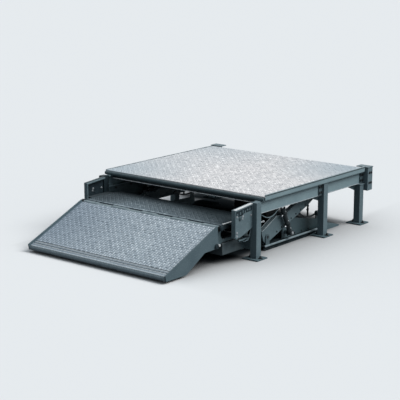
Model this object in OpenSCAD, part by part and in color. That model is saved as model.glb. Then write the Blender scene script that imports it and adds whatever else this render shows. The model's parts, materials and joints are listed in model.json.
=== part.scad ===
// Free-standing hydraulic dock leveler: a tread-plate deck hinged at its rear on a six-legged
// frame, a fixed landing plate in front of it and a hinged lip that ramps down to the yard.
// Lengths are in millimetres. X runs across the leveler, Y from the lip to the rear, Z up.
// Stations along Y are counted from the deck's front edge, and the finished part is shifted so
// that its origin lies on the floor below the middle of its length.

/* [Frame] */
// Height of the side beams above the floor
beam_top = 542; // [530:1:600]
// Depth of the side beams
beam_h = 120; // [100:1:140]
// Width of the side beams' flanges
beam_b = 50; // [45:1:52]
// Setback of the side beams behind the legs' outer faces
beam_set = 30; // [20:1:36]
// Thickness of the beams' flanges
flange_t = 9; // [6:0.5:12]
// Thickness of the beams' webs
web_t = 7; // [5:0.5:10]
// Side of the square leg tubes
leg = 70; // [65:1:80]
// Wall of the leg tubes and of the front cross tube
tube_wall = 5; // [3:0.5:8]
// Reach of the front legs ahead of the deck's front edge
front_leg_lead = 110; // [90:1:130]
// Station of the middle legs' front faces
mid_leg_y = 1008; // [940:1:1060]
// Clear length between the rear legs and the rear posts
rear_leg_gap = 20; // [10:1:60]
// Reach of the gussets along the undersides of the side beams
gusset_l = 170; // [60:1:200]
// Depth of the gussets at the legs
gusset = 62; // [30:1:80]
// Thickness of the gussets and of the beams' end cleats
gusset_t = 10; // [6:1:14]
// Length of the cleats at the beams' ends
cleat_l = 62; // [50:1:80]
// Thickness of the head plates on the rear legs
head_t = 8; // [5:1:12]
// Overhang of the head plates around the rear legs
head_over = 8; // [4:1:12]

/* [Foot plates] */
// Side of the foot plates
foot = 160; // [150:1:180]
// Reach of the foot plates inside the legs' middles, up to the base rails
foot_reach = 95; // [90:1:100]
// Thickness of the foot plates
foot_t = 12; // [8:1:20]
// Radius of the anchor holes
anchor_r = 9; // [6:0.5:11]
// Distance between the two anchor holes of a foot
anchor_pitch = 116; // [108:1:120]

/* [Deck] */
// Width of the deck
deck_w = 2020; // [1940:10:2320]
// Reach of the deck's side edges beyond the legs' outer faces
deck_over = 10; // [4:1:14]
// Length of the deck
deck_l = 1750; // [1600:10:1900]
// Thickness of the tread plate
plate_t = 10; // [6:1:14]
// Depth of the deck's edge angles below the tread plate
edge_h = 28; // [24:1:40]
// Thickness of the deck's edge angles and headers
edge_t = 10; // [6:1:12]
// Width of the edge angles' lower legs
edge_b = 88; // [60:1:92]
// Depth of the front header's face below the tread plate
header_h = 43; // [36:1:60]
// Height of the open groove between the front header's face and its lower flange
header_groove = 14; // [8:1:18]
// Thickness of the front header's lower flange and web
header_t = 6; // [4:1:8]
// Gap between the lowered deck and the side beams
deck_gap = 5; // [4:0.5:10]
// Clearance left where the lowered deck bears on its pads and shoes
bearing_gap = 0.3; // [0.2:0.1:0.5]
// Depth of the deck's stringers
stringer_h = 79; // [60:1:90]
// Width of the deck's stringers
stringer_b = 40; // [36:1:44]
// Sheet thickness of the deck's stringers
stringer_t = 6; // [4:1:8]
// Distance between the inner stringers
stringer_pitch = 430; // [380:5:470]
// Length of the rest pads on the side beams
pad_l = 90; // [60:1:120]

/* [Deck hinge] */
// Distance of the hinge axis ahead of the deck's rear edge
hinge_inset = 15; // [12:1:25]
// Depth of the hinge axis below the tread plate
hinge_drop = 55; // [50:1:65]
// Radius of the hinge pins
hinge_pin_r = 12; // [9:0.5:14]
// Radius of the hinge lugs around their pins
hinge_lug_r = 20; // [18:1:24]
// Thickness of the deck's hinge ears
ear_t = 20; // [14:1:26]
// Thickness of the frame's hinge lugs
lug_t = 12; // [8:1:16]
// Side play between a lug and its neighbour
lug_play = 2; // [1:0.5:4]
// Running clearance of pins in their bores
pin_fit = 0.05; // [0.02:0.01:0.1]

/* [Rear frame] */
// Clear gap between the deck's rear edge and the rear posts
rear_gap = 20; // [16:1:30]
// Length of the rear posts
post_l = 90; // [80:1:120]
// Width of the rear posts
post_w = 85; // [75:1:110]
// Reach of the rear posts outside the legs
post_out = 35; // [20:1:45]
// Depth of the rear posts below the tread plate's top
post_h = 240; // [180:5:300]
// Width of the rear posts' caps
cap_w = 145; // [120:1:180]
// Thickness of the rear posts' caps
cap_t = 8; // [5:1:12]
// Overhang of the caps beyond the posts
cap_over = 5; // [2:1:8]
// Depth of the rear cross channel from front to back
rear_beam_b = 60; // [50:1:70]
// Setback of the rear cross channel behind the posts' front faces
rear_beam_set = 20; // [10:1:25]

/* [Front end] */
// Reach of the front brackets ahead of the legs
bracket_l = 263; // [220:1:290]
// Depth of the front brackets' lower edges below the beams' tops
bracket_h = 292; // [250:1:310]
// Step from the beams' tops down to the front brackets' rear ends
bracket_drop = 8; // [0:1:16]
// Fall of the front brackets' top edges towards the lip
bracket_fall = 22; // [0:1:30]
// Length of the level part of the brackets' lower edge
bracket_flat = 78; // [50:1:100]
// Rise of the brackets' lower edge towards the leg
bracket_rise = 62; // [40:1:90]
// Width of the brackets' flanges
bracket_b = 45; // [35:1:55]
// Thickness of the bracket plate
bracket_t = 10; // [8:1:14]
// Number of slots along the brackets' upper edge
slots = 5; // [2:1:6]
// Length of a slot between the middles of its round ends
slot_l = 14; // [8:1:20]
// Radius of the slots' round ends
slot_r = 6; // [4:0.5:8]
// Depth of the slots below the brackets' tops
slot_drop = 32; // [24:1:40]
// Inset of the brackets from the legs' outer faces
bracket_inset = 45; // [30:1:48]
// Depth of the front cross tube from front to back
cross_b = 60; // [50:1:64]
// Height of the front cross tube
cross_h = 120; // [100:1:130]
// Height of the front cross tube's underside above the floor
cross_z = 90; // [80:1:110]
// Length of the bumper blocks
bumper_l = 280; // [240:1:290]
// Width of the bumper blocks
bumper_w = 150; // [120:1:180]
// Height of the bumper blocks
bumper_h = 115; // [90:1:120]
// Radius of the bumper blocks' long edges
bumper_round = 10; // [4:1:20]
// Depth of the boxes that carry the bumpers
bumper_box_l = 45; // [30:1:60]
// Height by which the bumpers' carriers stand clear of the landing ribs
bumper_drop = 10; // [6:1:14]

/* [Landing plate and lip] */
// Clear distance from the front legs to the landing plate and the lip plate
lip_side = 80; // [70:5:130]
// Height of the landing plate's top above the floor
landing_top = 376; // [360:1:392]
// Thickness of the landing plate
landing_t = 8; // [6:1:12]
// Depth of the landing plate's down-turned sides
landing_edge = 46; // [30:1:60]
// Reach of the landing plate under the deck
landing_in = 30; // [10:1:60]
// Thickness of the landing ribs
rib_t = 12; // [8:1:16]
// Slant of the landing ribs' front edges
rib_slant = 30; // [10:1:40]
// Width of the rims around the landing ribs' windows
rib_rim = 26; // [20:1:34]
// Distance of the lip hinge ahead of the deck's front edge
lip_hinge_lead = 480; // [470:1:500]
// Depth of the lip hinge axis below the landing plate's top
lip_hinge_drop = 24; // [23:0.5:28]
// Radius of the lip hinge's knuckles
knuckle_r = 20; // [17:0.5:21]
// Radius of the lip hinge pin
lip_pin_r = 10; // [8:0.5:12]
// Radius of the lip hinge pin's heads
lip_head_r = 26; // [18:0.5:27]
// Thickness of the lip hinge pin's heads
lip_head_t = 10; // [6:1:14]
// Number of knuckles along the lip hinge
knuckles = 9; // [5:2:13]
// Side play between knuckles
knuckle_play = 3; // [2:0.5:5]
// Reach of the leaves beside the lip hinge's axis
leaf = 26; // [25:0.5:30]
// Depth of the leaves below the plates' tops
leaf_sink = 4; // [2:0.5:6]
// Length of the lip from its hinge axis to its front edge
lip_l = 828; // [780:1:860]
// Slope of the lowered lip in degrees
lip_slope = 23; // [20:0.5:24]
// Thickness of the lip plate
lip_t = 10; // [8:1:12]
// Length of the nose bar
nose_l = 38; // [30:1:50]
// Depth of the nose bar
nose_h = 36; // [28:1:40]
// Thickness of the lip's cheek plates
cheek_t = 12; // [8:1:16]
// Height of the cheeks above the lip plate
cheek_up = 20; // [8:1:26]
// Setback of the cheeks' toes behind the lip's front edge
toe_set = 14; // [8:1:20]
// Height of the cheeks' lower edge above the floor at the toe
cheek_toe_z = 24; // [20:1:30]
// Length of the cheeks' level toe
cheek_toe_l = 275; // [220:1:300]
// Height of the cheeks' rear lower corner above the floor
cheek_heel_z = 176; // [160:1:190]
// Length of the cheeks' heel
cheek_heel_l = 200; // [160:1:230]
// Fall of the cheeks' heel towards the toe
heel_fall = 6; // [0:1:12]
// Radius of the bosses on the cheeks' heels
heel_boss_r = 20; // [14:1:21]
// Thickness of the bosses on the cheeks' heels
heel_boss_t = 8; // [4:1:12]
// Distance of the bosses ahead of the heels' rear edges
heel_boss_set = 38; // [30:1:60]
// Height of the bosses above the heels' lower corners
heel_boss_up = 24; // [22:1:40]
// Distance of the cheeks' heel ahead of the lip hinge
cheek_heel_lead = 20; // [18:1:30]
// Radius of the stop pins behind the cheeks' heels
stop_r = 11; // [8:0.5:13]
// Height of the stop pins above the cheeks' heels
stop_up = 22; // [16:1:26]
// Reach of the stop pins beyond the cheeks' outer faces
stop_over = 6; // [2:1:10]
// Depth of the lip's ribs at the hinge end
lip_rib_h = 55; // [40:1:60]
// Thickness of the lip's ribs
lip_rib_t = 10; // [6:1:12]
// Number of ribs under the lip
lip_rib_count = 6; // [4:2:8]
// Setback of the lip's ribs from the hinge leaves
lip_rib_set = 10; // [6:1:20]
// Slant of the lip's ribs at the hinge end
lip_rib_slant = 20; // [0:1:30]

/* [Lift gear] */
// Width of the base rails
rail_w = 170; // [165:1:180]
// Height of the base rails
rail_h = 45; // [38:1:48]
// Setback of the base rails' webs behind their flanges
rail_toe = 12; // [8:1:20]
// Sheet thickness of the base rails
rail_t = 8; // [6:1:10]
// Station of the base rails' front ends
rail_y = 200; // [180:1:210]
// Length of the base rails
rail_l = 1050; // [1000:1:1080]
// Length of the rails' rear feet
rail_foot_l = 250; // [200:1:280]
// Height of the rails' rear feet
rail_foot_h = 45; // [36:1:50]
// Height of the rear feet at their tips
rail_foot_tip = 14; // [8:1:20]
// Width of the floor ties between the rails
tie_w = 80; // [60:1:90]
// Distance of the lift arms' mid plane inside the rails' outer edges
arm_inset = 27.5; // [26:0.5:29]
// Thickness of the lift arm plates
arm_t = 15; // [10:1:16]
// Depth of the lift arms
arm_h = 120; // [100:1:124]
// Distance of the crest of the arms' deep front parts from the pivots
arm_crest_l = 205; // [180:1:230]
// Height of that crest above the arms' middle line
arm_crest_h = 115; // [90:1:125]
// Height of the deep front parts above the middle line at the arms' front ends
arm_heel_h = 92; // [75:1:100]
// Distance from the pivots at which the deep front parts end
arm_crest_end = 320; // [280:1:360]
// Length of the taper at the lower edge of the arms' shoe ends
arm_low_taper = 242; // [180:1:300]
// Length of the taper at the upper edge of the arms' shoe ends
arm_top_taper = 146; // [100:1:180]
// Station of the lift arms' pivot
arm_y = 260; // [250:1:270]
// Height of the lift arms' pivot
arm_z = 125; // [118:1:135]
// Horizontal reach of the lift arms from pivot to shoe
arm_reach = 910; // [860:1:940]
// Radius of the shoes at the lift arms' ends
shoe_r = 35; // [30:1:40]
// Width of the shoes
shoe_w = 36; // [30:1:38]
// Gap between the shoes and the lowered deck's outer stringers
shoe_gap = 0.9; // [0.8:0.1:1.5]
// Radius of the arms' pivot pins
arm_pin_r = 15; // [12:0.5:18]
// Thickness of the pivot brackets' ears
bracket_ear_t = 9; // [7:0.5:10]
// Reach of the arms' upper flanges inside the arm plates
arm_flange_b = 30; // [20:1:36]
// Reach of the arms' upper flanges outside the arm plates
arm_lip = 5; // [2:0.5:5]
// Distance of the flanges' rear ends from the shoes
arm_flange_end = 194; // [160:1:240]
// Thickness of the flange along the arms' upper edge
arm_flange_t = 8; // [5:1:10]
// Radius of the torsion tube between the arms
torsion_r = 32; // [25:1:38]
// Wall of the torsion tube
torsion_wall = 6; // [4:1:8]
// Distance of the torsion tube from the arms' pivot
torsion_u = 870; // [820:1:885]
// Station of the cylinders' lower pins
ram_y = 595; // [580:1:610]
// Height of the cylinders' lower pins
ram_z = 108; // [100:1:120]
// Station of the cylinders' upper pins
ram_top_y = 418; // [400:1:440]
// Depth of the cylinders' upper pins below the tread plate
ram_drop = 105; // [98:1:112]
// Radius of the cylinders' barrels
barrel_r = 26; // [24:0.5:26.5]
// Step between the barrels' tubes and their glands and end caps
gland_step = 2; // [1:0.5:3]
// Length of the glands at the barrels' upper ends
gland_l = 40; // [25:1:60]
// Radius of the cylinders' rods
rod_r = 14; // [11:0.5:16]
// Length of the barrels above their lower pins
barrel_l = 300; // [280:1:320]
// Length of the rods inside the barrels when lowered
rod_in = 225; // [200:1:235]
// Depth of the barrels' bores below the lowered rods
bore_end = 5; // [3:1:8]
// Radius of the cylinders' pins
ram_pin_r = 13; // [10:0.5:14]
// Clearance of the upper pins in the rods' eyes
eye_fit = 2.8; // [2.6:0.1:3.4]
// Radius of the eyes at the cylinders' ends
eye_r = 28; // [27:0.5:30]
// Width of the rods' eyes
eye_w = 24; // [20:1:26]
// Width of the barrels' lower eyes
barrel_eye_w = 54; // [53:1:58]
// Thickness of the deck's lugs beside the rods' eyes
ram_lug_t = 10; // [8:1:12]
// Radius of the bosses that carry the cylinders' lower pins
ram_boss_r = 21; // [18:1:26]
// Clear distance between the lift arms and the cylinders' base plates
arm_clear = 10; // [6:1:14]
// Thickness of the cylinders' base plates
ram_plate_t = 10; // [8:1:12]
// Height of the right side's base plate above the floor at its cylinder
ram_plate_h = 240; // [210:1:250]
// Height of the base plates above the floor at their rear ends
ram_plate_tail = 125; // [90:1:150]
// Height of the left side's base plate above the floor at its cylinder
ram_plate_low = 142; // [132:1:150]
// Reach of the base plates ahead of the lower pins
ram_plate_lead = 45; // [35:1:60]
// Distance of the base plates' rear ends ahead of the rails' rear ends
ram_plate_back = 50; // [30:1:90]
// Distance of the safety props' pivots ahead of the base plates' rear ends
prop_set = 38; // [34:1:60]
// Height of the safety props' pivots
prop_z = 188; // [176:1:200]
// Radius of the lugs around the safety props' pivots
prop_r = 28; // [22:1:30]
// Radius of the safety props' pivot pins
prop_pin_r = 10; // [7:0.5:12]
// Thickness of the safety props
prop_t = 12; // [8:1:14]
// Length of the safety props from their pivots to their hooks
prop_l = 298; // [260:1:320]
// Rise of the safety props from pivot to hook in degrees
prop_rise = 8.7; // [6:0.1:12]
// Sag of the safety props' bows
prop_sag = 34; // [20:1:38]
// Depth of the safety props' bows
prop_b = 16; // [12:1:22]
// Radius of the safety props' hooks and grips
prop_grip_r = 13; // [10:1:16]
// Height of the grips above the bows
prop_grip_h = 115; // [90:1:125]

/* [Power unit] */
// Length of the oil tank across the leveler
tank_w = 420; // [360:1:480]
// Depth of the oil tank from front to back
tank_d = 220; // [180:1:260]
// Height of the oil tank
tank_h = 190; // [150:1:220]
// Corner radius of the oil tank
tank_r = 22; // [10:1:40]
// Radius of the pump motor
motor_r = 65; // [50:1:75]
// Length of the pump motor
motor_l = 260; // [200:1:320]
// Number of cooling fins along the motor
motor_fins = 9; // [5:1:14]
// Height of the motor's cooling fins
fin_h = 8; // [4:1:12]
// Height of the motor above the tank
motor_foot = 8; // [4:1:14]

/* [Side guard] */
// Height of the lower edge of the guard sheets that close the left side
guard_low = 165; // [140:1:200]
// Thickness of the guard sheets
guard_t = 4; // [3:1:5]
// Width of the fold along the guard sheets' lower edge
guard_fold = 20; // [15:1:28]
// Gap between the two guard sheets at the middle leg
guard_gap = 12; // [6:1:20]

/* [Hidden] */

$fn = 48;
cut = 1;

frame_paint = "#53646d";
deep_paint = "#3a4a53";
deck_steel = "#c3c6ca";
ramp_steel = "#8f9ba8";
landing_steel = "#55626e";
bright_steel = "#b9bec2";
rubber_black = "#23272a";

half_w = deck_w / 2 - deck_over;
front_leg_y = -front_leg_lead;
deck_top = beam_top + deck_gap + edge_h + plate_t;
under_plate = deck_top - plate_t;
post_y = deck_l + rear_gap;
rear_leg_y = post_y - rear_leg_gap - leg;
beam_low = beam_top - beam_h;
leg_x = half_w - leg / 2;
beam_x = half_w - beam_set;
foot_in = leg_x - foot_reach;
leg_in = half_w - leg;
guard_x = min(leg_in, beam_x - beam_set - gusset_t);
rear_beam_y = post_y + rear_beam_set;
cap_end = post_y + post_l + cap_over;

hinge_y = deck_l - hinge_inset;
hinge_z = under_plate - hinge_drop;
track_z = under_plate - stringer_h;

lip_hinge_y = -lip_hinge_lead;
lip_hinge_z = landing_top - lip_hinge_drop;
lip_half = leg_in - lip_side;
lip_pin_end = lip_half + knuckle_play / 2;
nose_r = nose_h / 2;
tip_y = lip_point(nose_r - lip_l, lip_hinge_drop - nose_r)[0] - nose_r;
mid_y = (tip_y + cap_end) / 2;
cheek_heel_y = lip_hinge_y - cheek_heel_lead;
cross_y = front_leg_y + (leg - cross_b) / 2;
cross_top = cross_z + cross_h;
bumper_out = lip_half;
knuckle_pitch = 2 * lip_half / knuckles;
rib_out = lip_half - landing_t;
rib_front = lip_hinge_y + leaf;
knuckle_low = lip_hinge_z - knuckle_r - lug_play;

rail_out = foot_in;
rail_in = rail_out - rail_w;
rail_end = rail_y + rail_l;
arm_x = rail_out - arm_inset;
ram_x = arm_x + stringer_b / 2 + ram_lug_t + lug_play + eye_w / 2;
ram_plate_x = arm_x - arm_t / 2 - arm_clear - ram_plate_t;
ram_plate_end = rail_end - ram_plate_back;
prop_y = ram_plate_end - prop_set;
prop_arc_r = (prop_l * prop_l / 4 + prop_sag * prop_sag) / (2 * prop_sag);
prop_arc_rise = prop_arc_r - prop_sag;
prop_mid = [
  prop_y - prop_l / 2 * cos(prop_rise) - prop_sag * sin(prop_rise),
  prop_z + prop_l / 2 * sin(prop_rise) - prop_sag * cos(prop_rise)
];
shoe_z = track_z - shoe_gap - shoe_r;
arm_angle = atan2(shoe_z - arm_z, arm_reach);
arm_l = norm([arm_reach, shoe_z - arm_z]);
ram_top_z = under_plate - ram_drop;
ram_angle = atan2(ram_top_z - ram_z, ram_top_y - ram_y);
ram_l = norm([ram_top_y - ram_y, ram_top_z - ram_z]);
tie_front_y = arm_y - tie_w / 2;
tie_rear_y = rail_end - tie_w;

// A point of the lip given along and above its hinge axis, at the station and height where it
// comes to lie with the lip lowered.
function lip_point(along, above) = [
  lip_hinge_y + along * cos(lip_slope) - above * sin(lip_slope),
  lip_hinge_z + along * sin(lip_slope) + above * cos(lip_slope)
];

// Stations of the deck hinge's ears across the deck.
hinge_xs = [-arm_x, -stringer_pitch, stringer_pitch, arm_x];
// Places of the stringers across the deck: the outer pair runs above the lift arms.
stringer_xs = [-arm_x, -stringer_pitch, 0, stringer_pitch, arm_x];
// Places of the landing ribs across the front end.
rib_xs = [-rib_out + rib_t / 2, -stringer_pitch, 0, stringer_pitch, rib_out - rib_t / 2];
// Places of the ribs across the lip.
lip_rib_xs = [for (k = [1 : lip_rib_count]) lip_half * (2 * k / (lip_rib_count + 1) - 1)];

module placed() {
  translate([0, -mid_y, 0]) children();
}

module both_sides() {
  children();
  mirror([1, 0, 0]) children();
}

// Extrudes an outline drawn in Y and Z across the leveler.
module across(x0, x1) {
  translate([x0, 0, 0]) rotate([90, 0, 90]) linear_extrude(x1 - x0) children();
}

// Extrudes an outline drawn in X and Z along the leveler.
module along(y0, y1) {
  translate([0, y1, 0]) rotate([90, 0, 0]) linear_extrude(y1 - y0) children();
}

module rod_across(x0, x1, y, z, r) {
  translate([x0, y, z]) rotate([0, 90, 0]) cylinder(h = x1 - x0, r = r);
}

// Turns a flat, level lip shape about the lip hinge into its lowered place.
module on_lip() {
  translate([0, lip_hinge_y, lip_hinge_z]) rotate([lip_slope, 0, 0]) children();
}

// Rolled channel outline with its web on the left and its toes to the right.
module channel_outline(b, h, web, flange) {
  difference() {
    square([b, h]);
    translate([web, flange]) square([b, h - 2 * flange]);
  }
}

module leg_tube(y, top) {
  translate([leg_in, y, foot_t]) difference() {
    cube([leg, leg, top - foot_t]);
    translate([tube_wall, tube_wall, -cut])
      cube([leg - 2 * tube_wall, leg - 2 * tube_wall, top - foot_t - tube_wall + cut]);
  }
}

// Two legs to the top of the side beam, and a shorter rear one with a head plate under the beam.
module side_legs() {
  leg_tube(front_leg_y, beam_top);
  leg_tube(mid_leg_y, beam_top);
  leg_tube(rear_leg_y, beam_low - head_t);
  translate([beam_x - beam_b, rear_leg_y - head_over, beam_low - head_t])
    cube([beam_b + beam_set + head_over, leg + 2 * head_over, head_t]);
}

module legs_right() color(frame_paint) placed() side_legs();

module legs_left() color(frame_paint) placed() mirror([1, 0, 0]) side_legs();

module foot_plate(y) {
  translate([leg_x, y + leg / 2, 0]) difference() {
    translate([-foot_reach, -foot / 2, 0]) cube([foot_reach + foot / 2, foot, foot_t]);
    for (side = [-1, 1])
      translate([side * anchor_pitch / 2, 0, -cut]) cylinder(h = foot_t + 2 * cut, r = anchor_r);
  }
}

module foot_plates() color(frame_paint) placed() both_sides() {
  for (y = [front_leg_y, mid_leg_y, rear_leg_y]) foot_plate(y);
}

// Length of rolled channel with its web outside and its toes under the deck.
module side_beam(y0, y1) {
  translate([beam_x, 0, beam_low]) mirror([1, 0, 0]) along(y0, y1)
    channel_outline(beam_b, beam_h, web_t, flange_t);
}

module side_beams() {
  side_beam(front_leg_y + leg, mid_leg_y);
  side_beam(mid_leg_y + leg, post_y);
}

module side_beams_right() color(frame_paint) placed() side_beams();

module side_beams_left() color(frame_paint) placed() mirror([1, 0, 0]) side_beams();

module beam_gussets() color(deep_paint) placed() both_sides() {
  across(beam_x - beam_set - gusset_t, beam_x - beam_set) {
    polygon([
      [mid_leg_y, beam_low], [mid_leg_y - gusset_l, beam_low], [mid_leg_y, beam_low - gusset]
    ]);
    polygon([
      [rear_leg_y - head_over, beam_low], [rear_leg_y - gusset_l, beam_low],
      [rear_leg_y, beam_low - head_t - gusset], [rear_leg_y, beam_low - head_t],
      [rear_leg_y - head_over, beam_low - head_t]
    ]);
  }
}

module beam_cleats() color(deep_paint) placed() both_sides() {
  for (y = [mid_leg_y, post_y])
    translate([beam_x, y - cleat_l, beam_low + flange_t])
      cube([gusset_t, cleat_l, beam_h - 2 * flange_t]);
}

module rest_pads() color(rubber_black) placed() both_sides() {
  for (y = [front_leg_y + leg + pad_l, mid_leg_y - 2 * pad_l, rear_leg_y - pad_l])
    translate([beam_x - beam_b, y, beam_top]) cube([beam_b, pad_l, deck_gap - bearing_gap]);
}

module rear_posts() color(frame_paint) placed() both_sides() {
  post_x = half_w + post_out - post_w;
  post_z = deck_top - post_h;
  difference() {
    translate([post_x, post_y, post_z]) cube([post_w, post_l, post_h]);
    translate([post_x + tube_wall, post_y + tube_wall, post_z - cut])
      cube([post_w - 2 * tube_wall, post_l - 2 * tube_wall, post_h + cut - tube_wall]);
  }
  translate([half_w + post_out + cap_over - cap_w, post_y - cap_over, deck_top])
    cube([cap_w, post_l + 2 * cap_over, cap_t]);
}

module rear_beam() color(frame_paint) placed() {
  reach = half_w + post_out - post_w;
  translate([0, rear_beam_y, beam_low]) across(-reach, reach)
    channel_outline(rear_beam_b, beam_h, web_t, flange_t);
}

module hinge_lugs() color(deep_paint) placed() {
  for (x = hinge_xs, side = [-1, 1]) {
    inner = x + side * (ear_t / 2 + lug_play + lug_t / 2);
    difference() {
      union() {
        rod_across(inner - lug_t / 2, inner + lug_t / 2, hinge_y, hinge_z, hinge_lug_r);
        translate([inner - lug_t / 2, hinge_y, hinge_z - hinge_lug_r])
          cube([lug_t, rear_beam_y - hinge_y, hinge_lug_r]);
      }
      rod_across(inner - lug_t, inner + lug_t, hinge_y, hinge_z, hinge_pin_r + pin_fit);
    }
  }
}

module hinge_pins() color(bright_steel) placed() {
  half = ear_t / 2 + lug_play + lug_t + lug_play;
  for (x = hinge_xs) rod_across(x - half, x + half, hinge_y, hinge_z, hinge_pin_r);
}

// Bent plate bracket ahead of a front leg: slotted web outside, flanges turned inwards. Its top edge
// falls towards the lip.
module front_bracket() {
  out = half_w - bracket_inset;
  front = front_leg_y - bracket_l;
  low = beam_top - bracket_h;
  rear_top = beam_top - bracket_drop;
  front_top = rear_top - bracket_fall;
  across(out - bracket_t, out) difference() {
    polygon([
      [front, low], [front + bracket_flat, low], [front_leg_y, low + bracket_rise],
      [front_leg_y, rear_top], [front, front_top]
    ]);
    for (k = [1 : slots]) {
      share = k / (slots + 1);
      translate([front + share * bracket_l, front_top + share * bracket_fall - slot_drop]) {
        translate([-slot_l / 2, -slot_r]) square([slot_l, 2 * slot_r]);
        for (side = [-1, 1]) translate([side * slot_l / 2, 0]) circle(r = slot_r);
      }
    }
  }
  translate([out - bracket_b, front, low]) cube([bracket_b, bracket_t, front_top - low]);
  across(out - bracket_b, out)
    polygon([
      [front, front_top - bracket_t], [front_leg_y, rear_top - bracket_t],
      [front_leg_y, rear_top], [front, front_top]
    ]);
}

module front_bracket_right() color(frame_paint) placed() front_bracket();

module front_bracket_left() color(frame_paint) placed() mirror([1, 0, 0]) front_bracket();

module front_cross_tube() color(deep_paint) placed() {
  difference() {
    translate([-leg_in, cross_y, cross_z]) cube([2 * leg_in, cross_b, cross_h]);
    translate([-leg_in - cut, cross_y + tube_wall, cross_z + tube_wall])
      cube([2 * (leg_in + cut), cross_b - 2 * tube_wall, cross_h - 2 * tube_wall]);
  }
}

module bumper_boxes() color(deep_paint) placed() both_sides() {
  translate([bumper_out - bumper_w, cross_y - bumper_box_l, cross_top - bumper_drop - bumper_h])
    cube([bumper_w, bumper_box_l, bumper_h]);
}

// Moulded rubber blocks with rounded long edges.
module bumpers() color(rubber_black) placed() both_sides() {
  rear = cross_y - bumper_box_l;
  flat_w = bumper_w - 2 * bumper_round;
  flat_h = bumper_h - 2 * bumper_round;
  translate([bumper_out - bumper_w, 0, cross_top - bumper_drop - bumper_h])
    along(rear - bumper_l, rear) translate([bumper_round, bumper_round])
      offset(r = bumper_round, $fn = 24) square([flat_w, flat_h]);
}

// Tread plate with its two sides turned down, and wings that fill the floor up to the front legs.
module landing_plate() color(landing_steel) placed() {
  translate([-lip_half, 0, landing_top - landing_edge]) along(rib_front, landing_in) difference() {
    square([2 * lip_half, landing_edge]);
    translate([landing_t, -cut])
      square([2 * (lip_half - landing_t), landing_edge - landing_t + cut]);
  }
  wing_y = front_leg_y - bracket_l + 2 * bracket_t;
  both_sides() translate([lip_half - landing_t, wing_y, landing_top - landing_t])
    cube([leg_in - lip_half + landing_t, cross_y + cross_b - wing_y, landing_t]);
}

// Upright ribs with round-ended windows that carry the landing plate on the front cross tube. The
// end ribs run forward below the hinge's end knuckles and hold the lip's stop pins.
module landing_ribs() color(deep_paint) placed() {
  top = landing_top - landing_t;
  nose_y = cheek_heel_y - bearing_gap;
  nose_low = cheek_heel_z + stop_up - 2 * stop_r;
  window_r = (top - cross_top) / 2 - rib_rim;
  for (x = rib_xs) {
    is_end = abs(x) > stringer_pitch;
    front = is_end ? nose_y + rib_rim : rib_front + rib_slant;
    across(x - rib_t / 2, x + rib_t / 2) difference() {
      union() {
        polygon([
          [rib_front, top], [rib_front, knuckle_low], [rib_front + rib_slant, cross_top],
          [cross_y + cross_b, cross_top], [landing_in, knuckle_low], [landing_in, top]
        ]);
        if (is_end)
          polygon([
            [nose_y, knuckle_low], [nose_y, nose_low], [rib_front + rib_slant, cross_top],
            [rib_front + rib_slant, knuckle_low]
          ]);
      }
      translate([0, (top + cross_top) / 2]) window(front + rib_rim, cross_y - rib_rim, window_r);
    }
  }
}

// Level window with round ends of radius r.
module window(y0, y1, r) {
  translate([y0 + r, -r]) square([y1 - y0 - 2 * r, 2 * r]);
  for (y = [y0 + r, y1 - r]) translate([y, 0]) circle(r = r);
}

// Knuckle k of the lip hinge, counted from the left end, without its bore.
module knuckle(k) {
  x = -lip_half + k * knuckle_pitch;
  rod_across(x + knuckle_play / 2, x + knuckle_pitch - knuckle_play / 2, 0, 0, knuckle_r);
}

// Flat leaf that joins knuckle k to the plate beside it.
module leaf_block(k, y0, y1, z0, z1) {
  x = -lip_half + k * knuckle_pitch + knuckle_play / 2;
  translate([x, y0, z0]) cube([knuckle_pitch - knuckle_play, y1 - y0, z1 - z0]);
}

module lip_bore() {
  rod_across(-lip_half - cut, lip_half + cut, 0, 0, lip_pin_r + pin_fit);
}

module landing_knuckles() color(deep_paint) placed() {
  translate([0, lip_hinge_y, lip_hinge_z]) difference() {
    for (k = [0 : 2 : knuckles - 1]) {
      knuckle(k);
      leaf_block(k, 0, leaf, 0, lip_hinge_drop - leaf_sink);
    }
    lip_bore();
  }
}

module lip_hinge_pin() color(bright_steel) placed() {
  rod_across(-lip_pin_end, lip_pin_end, lip_hinge_y, lip_hinge_z, lip_pin_r);
}

module lip_pin_heads() color(deep_paint) placed() both_sides() {
  rod_across(lip_pin_end, lip_pin_end + lip_head_t, lip_hinge_y, lip_hinge_z, lip_head_r);
}

module lip_stops() color(bright_steel) placed() both_sides() {
  rod_across(
    rib_out, lip_half + cheek_t + stop_over,
    cheek_heel_y + bearing_gap + stop_r, cheek_heel_z + stop_up, stop_r
  );
}

// Hat-section floor rails: a wide top and two webs set back from it, each on an outward flange.
module base_rails() color(deep_paint) placed() both_sides() {
  translate([rail_in, 0, 0]) along(rail_y, rail_end) {
    translate([0, rail_h - rail_t]) square([rail_w, rail_t]);
    rail_side();
    translate([rail_w, 0]) mirror([1, 0]) rail_side();
  }
}

// Web and lower flange of a base rail's left side.
module rail_side() {
  square([rail_toe + rail_t, rail_t]);
  translate([rail_toe, 0]) square([rail_t, rail_h]);
}

module rail_feet() color(deep_paint) placed() both_sides() {
  across(rail_in, rail_out)
    polygon([
      [rail_end, 0], [rail_end, rail_foot_h], [rail_end + rail_foot_l / 2, rail_foot_h],
      [rail_end + rail_foot_l, rail_foot_tip], [rail_end + rail_foot_l, 0]
    ]);
}

module floor_ties() color(deep_paint) placed() {
  for (y = [tie_front_y, tie_rear_y])
    translate([0, y, 0]) across(-rail_in, rail_in) difference() {
      square([tie_w, rail_h]);
      translate([rail_t, -cut]) square([tie_w - 2 * rail_t, rail_h - rail_t + cut]);
    }
}

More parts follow.
